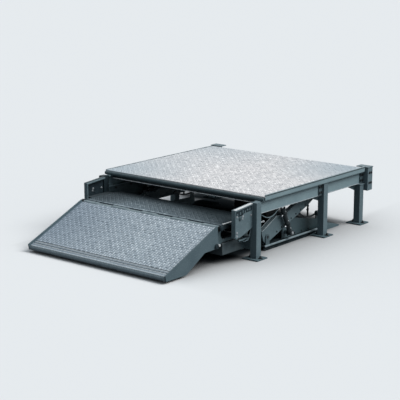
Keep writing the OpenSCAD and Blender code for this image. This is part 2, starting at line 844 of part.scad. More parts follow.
// Ears on the base rails on both faces of each lift arm.
module arm_brackets() color(deep_paint) placed() both_sides() {
  for (side = [-1, 1]) {
    x = arm_x + side * (arm_t / 2 + lug_play + bracket_ear_t / 2);
    difference() {
      across(x - bracket_ear_t / 2, x + bracket_ear_t / 2) union() {
        translate([arm_y, arm_z]) circle(r = 2 * arm_pin_r);
        translate([arm_y - 2 * arm_pin_r, rail_h]) square([4 * arm_pin_r, arm_z - rail_h]);
      }
      rod_across(x - bracket_ear_t, x + bracket_ear_t, arm_y, arm_z, arm_pin_r + pin_fit);
    }
  }
}

module arm_pins() color(bright_steel) placed() both_sides() {
  half = arm_t / 2 + lug_play + bracket_ear_t + lug_play;
  rod_across(arm_x - half, arm_x + half, arm_y, arm_z, arm_pin_r);
}

// Tapered plates on the base rails inside the lift arms. The one on the closed left side is lower.
module ram_plates() color(frame_paint) placed() {
  ram_plate(ram_plate_h);
  mirror([1, 0, 0]) ram_plate(ram_plate_low);
}

// One base plate of a given height at the cylinder, with the boss of the lower pin and the lug of
// the safety prop.
module ram_plate(height) {
  face = ram_plate_x + ram_plate_t;
  difference() {
    union() {
      across(ram_plate_x, face) {
        polygon([
          [ram_y - ram_plate_lead, rail_h], [ram_y - ram_plate_lead, ram_z],
          [ram_y - ram_plate_lead / 2, height], [ram_y + ram_plate_lead, height],
          [ram_plate_end, ram_plate_tail], [ram_plate_end, rail_h]
        ]);
        translate([prop_y - prop_r, rail_h]) square([2 * prop_r, prop_z - rail_h]);
        translate([prop_y, prop_z]) circle(r = prop_r);
      }
      rod_across(face, ram_x - barrel_eye_w / 2 - lug_play, ram_y, ram_z, ram_boss_r);
    }
    rod_across(ram_plate_x - cut, ram_x, ram_y, ram_z, ram_pin_r + pin_fit);
    rod_across(ram_plate_x - cut, face + cut, prop_y, prop_z, prop_pin_r + pin_fit);
  }
}

module ram_pins() color(bright_steel) placed() both_sides() {
  rod_across(ram_plate_x - lug_play, ram_x + barrel_eye_w / 2 + lug_play, ram_y, ram_z, ram_pin_r);
}

// Props for work under the raised deck, folded down beside the base plates: a bowed bar with an
// eye and pivot pin at the rear, a hook at the front and an upright grip.
module safety_props() color(deep_paint) placed() both_sides() {
  across(ram_plate_x - prop_t, ram_plate_x) {
    translate([prop_y, prop_z]) rotate(180 - prop_rise) {
      circle(r = prop_grip_r + prop_pin_r);
      translate([prop_l, 0]) circle(r = prop_grip_r);
      translate([prop_l / 2, -prop_arc_rise]) prop_bow();
    }
    translate(prop_mid) {
      translate([-prop_b / 2, 0]) square([prop_b, prop_grip_h]);
      translate([0, prop_grip_h]) circle(r = prop_grip_r);
    }
  }
  rod_across(ram_plate_x, ram_plate_x + ram_plate_t + lug_play, prop_y, prop_z, prop_pin_r);
}

// Part of a ring between the ends of a safety prop, drawn about the ring's middle.
module prop_bow() {
  intersection() {
    difference() {
      circle(r = prop_arc_r + prop_b / 2);
      circle(r = prop_arc_r - prop_b / 2);
    }
    polygon([[0, 0], [prop_l, 2 * prop_arc_rise], [-prop_l, 2 * prop_arc_rise]]);
  }
}

// Folded sheets that close the left side of the lift gear, set on the legs' inner faces under the
// side beam.
module side_guard() color(deep_paint) placed() mirror([1, 0, 0]) {
  leg_mid = mid_leg_y + leg / 2;
  rear_end = rear_leg_y - head_over;
  guard_sheet(cross_y + cross_b, leg_mid - guard_gap / 2, front_leg_y + leg, mid_leg_y);
  guard_sheet(leg_mid + guard_gap / 2, rear_end, mid_leg_y + leg, rear_end);
}

// Upright sheet from y0 to y1 with its lower edge folded outwards between fold0 and fold1.
module guard_sheet(y0, y1, fold0, fold1) {
  translate([guard_x - guard_t, 0, guard_low]) {
    along(y0, y1) square([guard_t, beam_low - guard_low]);
    along(fold0, fold1) square([guard_t + guard_fold, guard_t]);
  }
}

module oil_tank() color(deep_paint) placed() {
  translate([-tank_w / 2 + tank_r, tie_rear_y - tank_d / 4 + tank_r, rail_h])
    linear_extrude(tank_h) offset(r = tank_r, $fn = 32)
      square([tank_w - 2 * tank_r, tank_d - 2 * tank_r]);
}

// Finned motor lying above the tank on its terminal foot.
module pump_motor() color(frame_paint) placed() {
  motor_y = tie_rear_y + tank_d / 4;
  tank_top = rail_h + tank_h;
  motor_z = tank_top + motor_foot + motor_r;
  fin_pitch = motor_l / (2 * motor_fins);
  rod_across(-motor_l / 2, motor_l / 2, motor_y, motor_z, motor_r - fin_h);
  for (k = [0 : motor_fins - 1]) {
    x = -motor_l / 2 + (2 * k + 0.5) * fin_pitch;
    rod_across(x, x + fin_pitch, motor_y, motor_z, motor_r);
  }
  translate([-motor_l / 4, motor_y - motor_r / 2, tank_top])
    cube([motor_l / 2, motor_r, motor_z - tank_top]);
}

module deck_plate() color(deck_steel) placed() {
  translate([-deck_w / 2, 0, under_plate]) cube([deck_w, deck_l, plate_t]);
}

// Front header: a face plate across the deck, and between the side beams a deeper channel with an
// open groove above its lower flange. The rear header is plain.
module deck_headers() color(deep_paint) placed() {
  clear_half = beam_x - beam_b - deck_gap;
  flange_z = under_plate - header_h - header_groove - header_t;
  translate([-deck_w / 2, 0, under_plate - edge_h]) cube([deck_w, edge_t, edge_h]);
  translate([-clear_half, 0, under_plate - header_h]) cube([2 * clear_half, edge_t, header_h]);
  translate([-clear_half, edge_t, flange_z])
    cube([2 * clear_half, header_t, under_plate - flange_z]);
  translate([-clear_half, 0, flange_z]) cube([2 * clear_half, edge_t + header_t, header_t]);
  translate([-deck_w / 2, deck_l - edge_t, under_plate - edge_h]) cube([deck_w, edge_t, edge_h]);
}

module deck_edges() color(deep_paint) placed() both_sides() {
  translate([deck_w / 2 - edge_b, 0, under_plate - edge_h]) along(edge_t, deck_l - edge_t) union() {
    square([edge_b, edge_t]);
    translate([edge_b - edge_t, 0]) square([edge_t, edge_h]);
  }
}

// Pressed troughs that the tread plate closes from above.
module deck_stringers() color(deep_paint) placed() {
  for (x = stringer_xs)
    translate([x - stringer_b / 2, 0, track_z]) along(edge_t + header_t, hinge_y - 2 * hinge_lug_r)
      difference() {
        square([stringer_b, stringer_h]);
        translate([stringer_t, stringer_t]) square([stringer_b - 2 * stringer_t, stringer_h]);
      }
}

module hinge_ears() color(deep_paint) placed() {
  for (x = hinge_xs)
    difference() {
      union() {
        rod_across(x - ear_t / 2, x + ear_t / 2, hinge_y, hinge_z, hinge_lug_r);
        translate([x - ear_t / 2, hinge_y - hinge_lug_r, hinge_z])
          cube([ear_t, deck_l - edge_t - hinge_y + hinge_lug_r, hinge_drop]);
      }
      rod_across(x - ear_t, x + ear_t, hinge_y, hinge_z, hinge_pin_r + pin_fit);
    }
}

module ram_lugs() color(deep_paint) placed() both_sides() {
  for (side = [-1, 1]) {
    x = ram_x + side * (eye_w / 2 + lug_play + ram_lug_t / 2);
    difference() {
      across(x - ram_lug_t / 2, x + ram_lug_t / 2) {
        translate([ram_top_y, ram_top_z]) circle(r = eye_r);
        translate([ram_top_y - eye_r, ram_top_z]) square([2 * eye_r, ram_drop]);
      }
      rod_across(x - ram_lug_t, x + ram_lug_t, ram_top_y, ram_top_z, ram_pin_r + pin_fit);
    }
  }
}

module ram_top_pins() color(bright_steel) placed() both_sides() {
  half = eye_w / 2 + lug_play + ram_lug_t;
  rod_across(ram_x - half, ram_x + half, ram_top_y, ram_top_z, ram_pin_r);
}

module lip_plate() color(ramp_steel) placed() on_lip() {
  translate([-lip_half, nose_l - lip_l, lip_hinge_drop - lip_t])
    cube([2 * lip_half, lip_l - nose_l - leaf, lip_t]);
}

// Round-nosed bar along the lip's front edge.
module lip_nose() color(ramp_steel) placed() on_lip() {
  across(-lip_half, lip_half) translate([nose_r - lip_l, lip_hinge_drop - nose_r]) {
    circle(r = nose_r);
    translate([0, -nose_r]) square([nose_l - nose_r, nose_h]);
  }
}

// Wedge-shaped cheek plates on the lip's sides, with a level toe, a stepped heel and a boss.
module lip_cheeks() color(frame_paint) placed() both_sides() {
  out = lip_half + cheek_t;
  across(lip_half, out)
    polygon([
      lip_point(-cheek_heel_lead, lip_hinge_drop + cheek_up),
      lip_point(nose_r - lip_l, lip_hinge_drop + cheek_up),
      [tip_y + toe_set, cheek_toe_z],
      [tip_y + toe_set + cheek_toe_l, cheek_toe_z],
      [cheek_heel_y - cheek_heel_l, cheek_heel_z - heel_fall],
      [cheek_heel_y, cheek_heel_z]
    ]);
  rod_across(
    out, out + heel_boss_t, cheek_heel_y - heel_boss_set, cheek_heel_z + heel_boss_up, heel_boss_r
  );
}

module lip_ribs() color(deep_paint) placed() on_lip() {
  under = lip_hinge_drop - lip_t;
  start = -leaf - lip_rib_set;
  for (x = lip_rib_xs)
    across(x - lip_rib_t / 2, x + lip_rib_t / 2)
      polygon([
        [start, under], [start - lip_rib_slant, under - lip_rib_h],
        [nose_l - lip_l, lip_hinge_drop - nose_h], [nose_l - lip_l, under]
      ]);
}

module lip_knuckles() color(deep_paint) placed() on_lip() {
  difference() {
    for (k = [1 : 2 : knuckles - 1]) {
      knuckle(k);
      leaf_block(k, -leaf, 0, 0, lip_hinge_drop - leaf_sink);
    }
    lip_bore();
  }
}

// Plate arms that rise from their pivots to the shoes under the deck's outer stringers. Their front
// parts are deeper and have a flange along the upper edge.
module lift_arms() color(frame_paint) placed() both_sides() {
  half = arm_h / 2;
  flange_in = arm_x - arm_t / 2 - arm_flange_b;
  flange_out = arm_x + arm_t / 2 + arm_lip;
  crest_run = arm_crest_l + half;
  crest_rise = arm_crest_h - arm_heel_h;
  translate([0, arm_y, arm_z]) rotate([arm_angle, 0, 0]) difference() {
    union() {
      across(arm_x - arm_t / 2, arm_x + arm_t / 2) {
        circle(r = half);
        polygon([
          [0, -half], [arm_l - arm_low_taper, -half], [arm_l, -shoe_r], [arm_l, 0],
          [arm_l - arm_top_taper, half], [arm_crest_end, half], [arm_crest_l, arm_crest_h],
          [-half, arm_heel_h], [-half, 0]
        ]);
      }
      across(flange_in, flange_out) {
        translate([-half, arm_heel_h]) rotate(atan2(crest_rise, crest_run)) translate([0, -arm_flange_t])
          square([norm([crest_run, crest_rise]), arm_flange_t]);
        translate([arm_crest_end, half - arm_flange_t])
          square([arm_l - arm_flange_end - arm_crest_end, arm_flange_t]);
      }
      rod_across(arm_x - shoe_w / 2, arm_x + shoe_w / 2, arm_l, 0, shoe_r);
    }
    rod_across(arm_x - arm_t, arm_x + arm_t, 0, 0, arm_pin_r + pin_fit);
  }
}

module torsion_tube() color(deep_paint) placed() {
  reach = arm_x - arm_t / 2;
  y = arm_y + torsion_u * cos(arm_angle);
  z = arm_z + torsion_u * sin(arm_angle);
  difference() {
    rod_across(-reach, reach, y, z, torsion_r);
    rod_across(-reach - cut, reach + cut, y, z, torsion_r - torsion_wall);
  }
}

// Places a cylinder drawn along its own length on the line between its two pins.
module on_ram() {
  translate([ram_x, ram_y, ram_z]) rotate([ram_angle - 90, 0, 0]) children();
}

// Barrels with a cross eye and end cap at the foot and a stepped gland at the rod's end.
module ram_barrels() color(frame_paint) placed() both_sides() on_ram() {
  half = barrel_eye_w / 2;
  difference() {
    union() {
      rod_across(-half, half, 0, 0, eye_r);
      cylinder(h = barrel_l, r = barrel_r - gland_step);
      cylinder(h = eye_r + gland_l / 2, r = barrel_r);
      translate([0, 0, barrel_l - gland_l]) cylinder(h = gland_l, r = barrel_r);
    }
    rod_across(-half - cut, half + cut, 0, 0, ram_pin_r + pin_fit);
    translate([0, 0, barrel_l - rod_in - bore_end])
      cylinder(h = rod_in + bore_end + cut, r = rod_r + pin_fit);
  }
}

module ram_rods() color(bright_steel) placed() both_sides() on_ram() {
  difference() {
    union() {
      translate([0, 0, barrel_l - rod_in]) cylinder(h = ram_l - barrel_l + rod_in, r = rod_r);
      rod_across(-eye_w / 2, eye_w / 2, 0, ram_l, eye_r);
    }
    rod_across(-eye_w, eye_w, 0, ram_l, ram_pin_r + eye_fit);
  }
}

legs_left();
legs_right();
foot_plates();
side_beams_left();
side_beams_right();
beam_gussets();
beam_cleats();
rest_pads();
rear_posts();
rear_beam();
hinge_lugs();
hinge_pins();
front_bracket_left();
front_bracket_right();
front_cross_tube();
bumper_boxes();
bumpers();
landing_plate();
landing_ribs();
landing_knuckles();
lip_hinge_pin();
lip_pin_heads();
lip_stops();
base_rails();
rail_feet();
floor_ties();
arm_brackets();
arm_pins();
ram_plates();
ram_pins();
safety_props();
side_guard();
oil_tank();
pump_motor();
deck_plate();
deck_headers();
deck_edges();
deck_stringers();
hinge_ears();
ram_lugs();
ram_top_pins();
lip_plate();
lip_nose();
lip_cheeks();
lip_ribs();
lip_knuckles();
lift_arms();
torsion_tube();
ram_barrels();
ram_rods();
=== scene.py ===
import json
import math

import bmesh
import bpy
from mathutils import Matrix, Vector


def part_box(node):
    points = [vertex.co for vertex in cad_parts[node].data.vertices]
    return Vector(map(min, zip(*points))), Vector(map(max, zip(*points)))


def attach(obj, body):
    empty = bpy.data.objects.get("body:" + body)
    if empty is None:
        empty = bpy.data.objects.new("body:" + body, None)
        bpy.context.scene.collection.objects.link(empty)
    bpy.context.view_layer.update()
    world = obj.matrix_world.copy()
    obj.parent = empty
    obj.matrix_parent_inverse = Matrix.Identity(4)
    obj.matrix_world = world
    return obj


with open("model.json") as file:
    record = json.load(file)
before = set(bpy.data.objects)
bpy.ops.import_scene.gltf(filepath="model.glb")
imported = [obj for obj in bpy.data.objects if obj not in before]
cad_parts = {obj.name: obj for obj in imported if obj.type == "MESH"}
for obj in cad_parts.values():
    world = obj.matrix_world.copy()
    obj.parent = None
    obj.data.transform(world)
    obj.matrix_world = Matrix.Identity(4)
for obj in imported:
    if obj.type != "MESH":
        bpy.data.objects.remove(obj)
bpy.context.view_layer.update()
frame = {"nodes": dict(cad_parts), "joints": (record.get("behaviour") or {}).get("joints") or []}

nodes = frame["nodes"]


# Camera
# The leveler is seen from its right front corner and a little from above, through a long lens about
# twelve metres away. The place was fitted to the leveler's corners in the photograph.
AZIMUTH = math.radians(39.107)
ELEVATION = math.radians(12.866)
DISTANCE = 12.2946
SENSOR_WIDTH = 36
FOCAL_LENGTH = 110.57
VIEW_END = 200
AIM = (-25.5, 323.5, 350)
deck_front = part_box("deck_plate")[0].y


def at(x, y, z):
    """Place in metres of a point in millimetres, counted along from the deck's front edge."""
    return Vector((x / 1000, deck_front + y / 1000, z / 1000))


away = Vector((
    math.sin(AZIMUTH) * math.cos(ELEVATION),
    -math.cos(AZIMUTH) * math.cos(ELEVATION),
    math.sin(ELEVATION),
))
camera_data = bpy.data.cameras.new("camera")
camera_data.sensor_width = SENSOR_WIDTH
camera_data.lens = FOCAL_LENGTH
camera_data.clip_end = VIEW_END
camera = bpy.data.objects.new("camera", camera_data)
camera.location = at(*AIM) + DISTANCE * away
camera.rotation_euler = away.to_track_quat("Z", "Y").to_euler()
scene = bpy.context.scene
scene.collection.objects.link(camera)
scene.camera = camera
scene.view_settings.view_transform = "Standard"


# Light and backdrop
# A broad soft light hangs overhead and a little to the right, so that the front faces and the room
# under the deck stay dark. The backdrop is plain and pale, and lights nothing itself. The glow of
# the sky grows with the direction's height and with its turn to the right.
SUN_STRENGTH = 2.7
SUN_SPREAD = math.radians(40)
SUN_COLOUR = (1.0, 0.985, 0.965)
SUN_FROM = Vector((0.60, 0.32, 0.73))
SKY_COLOUR = (0.90, 0.96, 1.0)
OVERHEAD_FROM, OVERHEAD_TO = 0.05, 1.0
OVERHEAD_WEAK, OVERHEAD_STRONG = 0.03, 0.72
SIDEWAYS_FROM, SIDEWAYS_TO = 0.2, 1.0
SIDEWAYS_WEAK, SIDEWAYS_STRONG = 0.0, 0.25
BACKDROP_COLOUR = (0.78, 0.81, 0.83)

sun_data = bpy.data.lights.new("sun", "SUN")
sun_data.energy = SUN_STRENGTH
sun_data.angle = SUN_SPREAD
sun_data.color = SUN_COLOUR
sun = bpy.data.objects.new("sun", sun_data)
sun.rotation_euler = SUN_FROM.to_track_quat("Z", "Y").to_euler()
scene.collection.objects.link(sun)


def put(tree, goal, value):
    """Sets an input socket to a number, a place or a colour, or links an output socket to it."""
    if isinstance(value, bpy.types.NodeSocket):
        tree.links.new(value, goal)
    elif isinstance(value, tuple):
        goal.default_value = (*value, 1)
    else:
        goal.default_value = value


def compute(tree, operation, *values):
    """Result of a sum on sockets or plain numbers."""
    node = tree.nodes.new("ShaderNodeMath")
    node.operation = operation
    for goal, value in zip(node.inputs, values):
        put(tree, goal, value)
    return node.outputs[0]


def remap(tree, value, start, end, low=0.0, high=1.0, smooth=False):
    """Goes from low to high while a value goes from start to end."""
    node = tree.nodes.new("ShaderNodeMapRange")
    if smooth:
        node.interpolation_type = "SMOOTHSTEP"
    node.inputs["From Min"].default_value = start
    node.inputs["From Max"].default_value = end
    node.inputs["To Min"].default_value = low
    node.inputs["To Max"].default_value = high
    put(tree, node.inputs["Value"], value)
    return node.outputs["Result"]


def parted(tree, vector):
    """Node that parts a vector socket into its X, Y and Z."""
    node = tree.nodes.new("ShaderNodeSeparateXYZ")
    put(tree, node.inputs[0], vector)
    return node


def looked_at(tree):
    """Share that is one where the camera, a reflection or a clear piece looks at a surface."""
    paths = tree.nodes.new("ShaderNodeLightPath")
    share = paths.outputs["Is Camera Ray"]
    for kind in ("Is Glossy Ray", "Is Transmission Ray"):
        share = compute(tree, "MAXIMUM", share, paths.outputs[kind])
    return share


def choose(tree, lighting, looks, output_kind):
    """Ends a tree with one shader for what lights the scene and another for what is looked at."""
    blend = tree.nodes.new("ShaderNodeMixShader")
    put(tree, blend.inputs["Fac"], looked_at(tree))
    put(tree, blend.inputs[1], lighting.outputs[0])
    put(tree, blend.inputs[2], looks.outputs[0])
    put(tree, tree.nodes.new(output_kind).inputs["Surface"], blend.outputs[0])


world = bpy.data.worlds.new("studio")
scene.world = world
world.use_nodes = True
sky = world.node_tree
sky.nodes.clear()
heading = parted(sky, sky.nodes.new("ShaderNodeTexCoord").outputs["Generated"])
overhead = remap(sky, heading.outputs["Z"], OVERHEAD_FROM, OVERHEAD_TO, OVERHEAD_WEAK, OVERHEAD_STRONG)
sideways = remap(sky, heading.outputs["X"], SIDEWAYS_FROM, SIDEWAYS_TO, SIDEWAYS_WEAK, SIDEWAYS_STRONG)
studio_light = sky.nodes.new("ShaderNodeBackground")
put(sky, studio_light.inputs["Color"], SKY_COLOUR)
put(sky, studio_light.inputs["Strength"], compute(sky, "ADD", overhead, sideways))
backdrop = sky.nodes.new("ShaderNodeBackground")
put(sky, backdrop.inputs["Color"], BACKDROP_COLOUR)
choose(sky, studio_light, backdrop, "ShaderNodeOutputWorld")


# Floor
# A level, pale studio floor. Its colour carries painted shade: a painted shadow under the deck and
# beyond the left rear leg, and darkening where little sky is seen, which is left out in front, at the
# left and behind. Each pair below is the stretch, in metres, over which one of these parts sets in.
FLOOR_HALF = 70
FLOOR_PALE = (0.722, 0.742, 0.762)
FLOOR_PAINTED_SHADOW = (0.008, 0.012, 0.015)
FLOOR_DIM = (0.10, 0.105, 0.11)
SHELTER_REACH = 2.5
SHELTER_SAMPLES = 12
SHELTER_POWER = 0.62
REAR_SLANT = 0.15
UNDER_DECK_SHARE = 0.02
UNDER_LEFT = (-1.08, -0.98)
UNDER_RIGHT = (0.95, 0.72)
UNDER_FRONT = (deck_front - 0.50, deck_front - 0.18)
UNDER_REAR = (deck_front + 1.81, deck_front + 1.58)
REAR_CORNER_LEFT = (-1.62, -1.18)
REAR_CORNER_FRONT = (deck_front + 1.40, deck_front + 1.62)
PALE_FRONT = (deck_front - 0.55, deck_front - 1.25)
PALE_LEFT = (-1.00, -1.20)
PALE_REAR = (deck_front + 1.66, deck_front + 1.88)
PALE_REAR_RIGHT = (1.30, 0.75)
AROUND = ((-1, -1), (1, -1), (1, 1), (-1, 1))

floor_mesh = bpy.data.meshes.new("floor")
floor_corners = [(x * FLOOR_HALF, y * FLOOR_HALF, 0) for x, y in AROUND]
floor_mesh.from_pydata(floor_corners, [], [(0, 1, 2, 3)])
floor = bpy.data.objects.new("floor", floor_mesh)
scene.collection.objects.link(floor)
floor_material = bpy.data.materials.new("studio_floor")
floor_material.use_nodes = True
ground = floor_material.node_tree
ground.nodes.clear()
spread = parted(ground, ground.nodes.new("ShaderNodeNewGeometry").outputs["Position"])
across, along = spread.outputs["X"], spread.outputs["Y"]
rearward = compute(ground, "MULTIPLY_ADD", across, REAR_SLANT, along)


def fade(source, stretch):
    """Smooth step from zero to one over a stretch of the floor."""
    return remap(ground, source, *stretch, smooth=True)


def join(operation, first, *others):
    """Joins shares of the floor, one after the other."""
    for other in others:
        first = compute(ground, operation, first, other)
    return first


def mix(tree, share, first, second):
    """Two colours or colour sockets, mixed by a share."""
    node = tree.nodes.new("ShaderNodeMix")
    node.data_type = "RGBA"
    put(tree, node.inputs["Factor"], share)
    goals = [socket for socket in node.inputs if socket.type == "RGBA"]
    for goal, colour in zip(goals, (first, second)):
        put(tree, goal, colour)
    return next(socket for socket in node.outputs if socket.type == "RGBA")


# Painted shade: the floor's colour darkens where the sky is hidden within the shelter's reach.
shelter = ground.nodes.new("ShaderNodeAmbientOcclusion")
shelter.samples = SHELTER_SAMPLES
shelter.inputs["Distance"].default_value = SHELTER_REACH
open_sky = compute(ground, "POWER", shelter.outputs["AO"], SHELTER_POWER)
rear_corner = join("MULTIPLY", fade(across, REAR_CORNER_LEFT), fade(along, REAR_CORNER_FRONT))
# Painted shadow under the deck and, through rear_corner, in a patch beyond the left rear leg.
under = join(
    "MULTIPLY",
    join("MAXIMUM", fade(across, UNDER_LEFT), rear_corner),
    fade(across, UNDER_RIGHT),
    fade(along, UNDER_FRONT),
    fade(rearward, UNDER_REAR),
)
behind = join("MULTIPLY", fade(rearward, PALE_REAR), fade(across, PALE_REAR_RIGHT))
bare = join("MAXIMUM", open_sky, fade(along, PALE_FRONT), fade(across, PALE_LEFT), behind)
lit = join("MULTIPLY", bare, remap(ground, under, 0.0, 1.0, 1.0, UNDER_DECK_SHARE))
pale = ground.nodes.new("ShaderNodeBsdfDiffuse")
put(ground, pale.inputs["Color"], mix(ground, lit, FLOOR_PAINTED_SHADOW, FLOOR_PALE))
dim = ground.nodes.new("ShaderNodeBsdfDiffuse")
put(ground, dim.inputs["Color"], FLOOR_DIM)
choose(ground, dim, pale, "ShaderNodeOutputMaterial")
floor_mesh.materials.append(floor_material)


# Legs and feet
# Square steel tubes cut to length and welded on flat foot plates, painted slate grey in one coat.
# Each foot is held to the floor by two black anchor bolts with a washer and a nut. The left front
# leg's top and the left rear feet are painted darker, for the deep shade they stand in.
SIDES = (-1, 1)
LEG_X = 965
LEG_HALF = 35
LEG_STATIONS = (-110, 1008, 1680)
ANCHOR_SPREAD = 58
ANCHOR_SIZE = 24
ANCHOR_STUD = 9
LEG_WELD = 4
WELD_LIFT = 1
SLATE_DARK, SLATE_LIGHT = (0.098, 0.144, 0.166), (0.124, 0.178, 0.202)
SHADED_SLATE = (0.016, 0.027, 0.033)
SHADED_FOOT = (0.008, 0.012, 0.014)
CLOUD_BAND = (0.32, 0.68)
FLECK_BAND = (0.56, 0.66)
WIDE_BAND = (0.3, 0.7)
DUST_FACING = (0.5, 1.0)
DUST_PATCHY = (0.3, 1.0)
DUST_COLOUR = (0.42, 0.43, 0.43)
FLECK_GAIN, FLECK_LIFT = 1.7, 0.05
GRAIN_HEIGHT = 0.001


def span(name):
    """Low and high corner of a CAD node in millimetres, as at() takes them."""
    low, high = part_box(name)
    return (low - at(0, 0, 0)) * 1000, (high - at(0, 0, 0)) * 1000


def noise(tree, where, feature, detail):
    """Cloudy pattern with features of a size in metres."""
    node = tree.nodes.new("ShaderNodeTexNoise")
    node.inputs["Scale"].default_value = 1 / feature
    node.inputs["Detail"].default_value = detail
    put(tree, node.inputs["Vector"], where)
    return node.outputs["Fac"]


def surface(name, dark, light, size, rough, metal=0.0, grain=0.0, grain_size=0.003, dust=0.0,
            fleck=0.0, fleck_size=0.01, patches=(), shine=0.12):
    """Mottled material: two tones mixed by noise, uneven gloss, a fine grain, dust on top faces,
    bright flecks for worn coat (on the galvanized deck, painted glints as well) and patches of another
    tone, most of them painted shade or sheen. A patch is its middle, the distances from there at which
    it sets in and is full, and its tone. Sizes are in metres."""
    material = bpy.data.materials.new(name)
    material.use_nodes = True
    tree = material.node_tree
    shader = tree.nodes["Principled BSDF"]
    shader.inputs["Metallic"].default_value = metal
    shader.inputs["Specular IOR Level"].default_value = shine
    where = tree.nodes.new("ShaderNodeTexCoord").outputs["Object"]
    colour = mix(tree, remap(tree, noise(tree, where, size, 6), *CLOUD_BAND), dark, light)
    if fleck:
        worn = tuple(min(1, FLECK_GAIN * tone + FLECK_LIFT) for tone in light)
        share = remap(tree, noise(tree, where, fleck_size, 3), *FLECK_BAND, 0, fleck)
        colour = mix(tree, share, colour, worn)
    for middle, start, end, other in patches:
        apart = tree.nodes.new("ShaderNodeVectorMath")
        apart.operation = "DISTANCE"
        put(tree, apart.inputs[0], where)
        put(tree, apart.inputs[1], middle)
        colour = mix(tree, remap(tree, apart.outputs["Value"], start, end), colour, other)
    if dust:
        facing = parted(tree, tree.nodes.new("ShaderNodeNewGeometry").outputs["Normal"])
        upward = remap(tree, facing.outputs["Z"], *DUST_FACING, 0, dust)
        patchy = remap(tree, noise(tree, where, size / 3, 4), *WIDE_BAND, *DUST_PATCHY)
        colour = mix(tree, compute(tree, "MULTIPLY", upward, patchy), colour, DUST_COLOUR)
    put(tree, shader.inputs["Base Color"], colour)
    gloss = remap(tree, noise(tree, where, size / 5, 4), *WIDE_BAND, *rough)
    put(tree, shader.inputs["Roughness"], gloss)
    if grain:
        bump = tree.nodes.new("ShaderNodeBump")
        bump.inputs["Strength"].default_value = grain
        bump.inputs["Distance"].default_value = GRAIN_HEIGHT
        put(tree, bump.inputs["Height"], noise(tree, where, grain_size, 2))
        put(tree, shader.inputs["Normal"], bump.outputs["Normal"])
    return material


def paint(name, dark, light, size=0.16, rough=(0.34, 0.52), fleck=0.25, **more):
    """Brushed coat of paint on steel, with a fine grain."""
    return surface(name, dark, light, size, rough, grain=0.10, grain_size=0.004, fleck=fleck, **more)


def dress(material, *names):
    """Gives CAD nodes their finished material."""
    for name in names:
        nodes[name].data.materials.clear()
        nodes[name].data.materials.append(material)


def loft(mesh, rings):
    """Closes a row of like rings of corners to a solid."""
    count = len(rings[0])
    for low, high in zip(rings, rings[1:]):
        for k in range(count):
            mesh.faces.new((low[k], low[(k + 1) % count], high[(k + 1) % count], high[k]))
    mesh.faces.new(rings[0][::-1])
    mesh.faces.new(rings[-1])


def circle(radius, height, sides):
    """Corners in metres of a ring about the Z axis, given in millimetres."""
    turns = [2 * math.pi * k / sides for k in range(sides)]
    return [Vector((radius * math.cos(t), radius * math.sin(t), height)) / 1000 for t in turns]


def lathe(mesh, spot, axis, profile, sides=24):
    """Turned solid of (radius, height) steps about an axis; six sides make a nut."""
    base = Matrix.Translation(spot) @ Vector(axis).to_track_quat("Z", "Y").to_matrix().to_4x4()
    loft(mesh, [[mesh.verts.new(base @ corner) for corner in circle(*step, sides)] for step in profile])


def nut(mesh, spot, axis, flat, stud=0.0):
    """Washer, chamfered hexagon and, where given, the stud's end above it, in shares of the flats."""
    washer, washer_top, seat = 0.95 * flat, 0.7 * flat, 2
    lathe(mesh, spot, axis, [(washer, 0), (washer, 2.4), (washer_top, 3)], sides=20)
    reach, height, chamfer = flat / math.sqrt(3), 0.55 * flat, 0.85
    shoulder, top = seat + chamfer * height, seat + height
    lathe(mesh, spot, axis, [(reach, seat), (reach, shoulder), (chamfer * reach, top)], sides=6)
    if stud:
        thread, tip, end = 0.33 * flat, 0.27 * flat, height + stud
        lathe(mesh, spot, axis, [(thread, seat), (thread, end), (tip, end + 2)], sides=12)


def bead(mesh, path, radius, pitch=6.0, sides=6):
    """Rippled weld bead or, without a pitch, a plain round bar along a list of places."""
    points = []
    for a, b in zip(path, path[1:]):
        steps = max(1, round((b - a).length * 1000 / pitch)) if pitch else 1
        points += [a.lerp(b, k / steps) for k in range(steps)]
    points.append(path[-1])
    rings = []
    for k, point in enumerate(points):
        ahead = points[min(k + 1, len(points) - 1)] - points[max(k - 1, 0)]
        turn = ahead.to_track_quat("Z", "Y")
        swell = radius if k % 2 or not pitch else 0.8 * radius
        rings.append([mesh.verts.new(point + turn @ corner) for corner in circle(swell, 0, sides)])
    loft(mesh, rings)


def hold(data, name, body, material):
    """Puts a mesh in the scene as a named piece that rides on a body."""
    data.materials.append(material)
    made = bpy.data.objects.new(name, data)
    scene.collection.objects.link(made)
    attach(made, body)


def piece(mesh, name, body, material, angle=35):
    """Finishes a bmesh as a named piece, smooth but for edges sharper than an angle."""
    data = bpy.data.meshes.new(name)
    bmesh.ops.recalc_face_normals(mesh, faces=mesh.faces)
    mesh.to_mesh(data)
    mesh.free()
    data.shade_smooth()
    data.set_sharp_from_angle(angle=math.radians(angle))
    hold(data, name, body, material)


slate = paint("slate_paint", SLATE_DARK, SLATE_LIGHT, dust=0.10)
deep_slate = paint(
    "deep_slate_paint", (0.055, 0.086, 0.100), (0.080, 0.118, 0.134),
    size=0.14, rough=(0.36, 0.55), dust=0.14,
)
leg_shaded = paint(
    "leg_shaded_paint", SLATE_DARK, SLATE_LIGHT,
    patches=[(at(-925, -75, 440), 0.32, 0.20, SHADED_SLATE)],
)
foot_paint = paint(
    "foot_paint", (0.080, 0.118, 0.136), (0.100, 0.146, 0.166),
    patches=[(at(-965, 1600, 0), 0.90, 0.60, SHADED_FOOT)], shine=0.0,
)
black_steel = surface(
    "black_bolt_steel", (0.014, 0.019, 0.022), (0.036, 0.043, 0.047), size=0.02,
    rough=(0.35, 0.5), metal=0.4, grain=0.05, grain_size=0.002,
)
dress(leg_shaded, "legs_left")
dress(slate, "legs_right")
dress(foot_paint, "foot_plates")
foot_top = span("foot_plates")[1].z
anchors = bmesh.new()
leg_welds = bmesh.new()
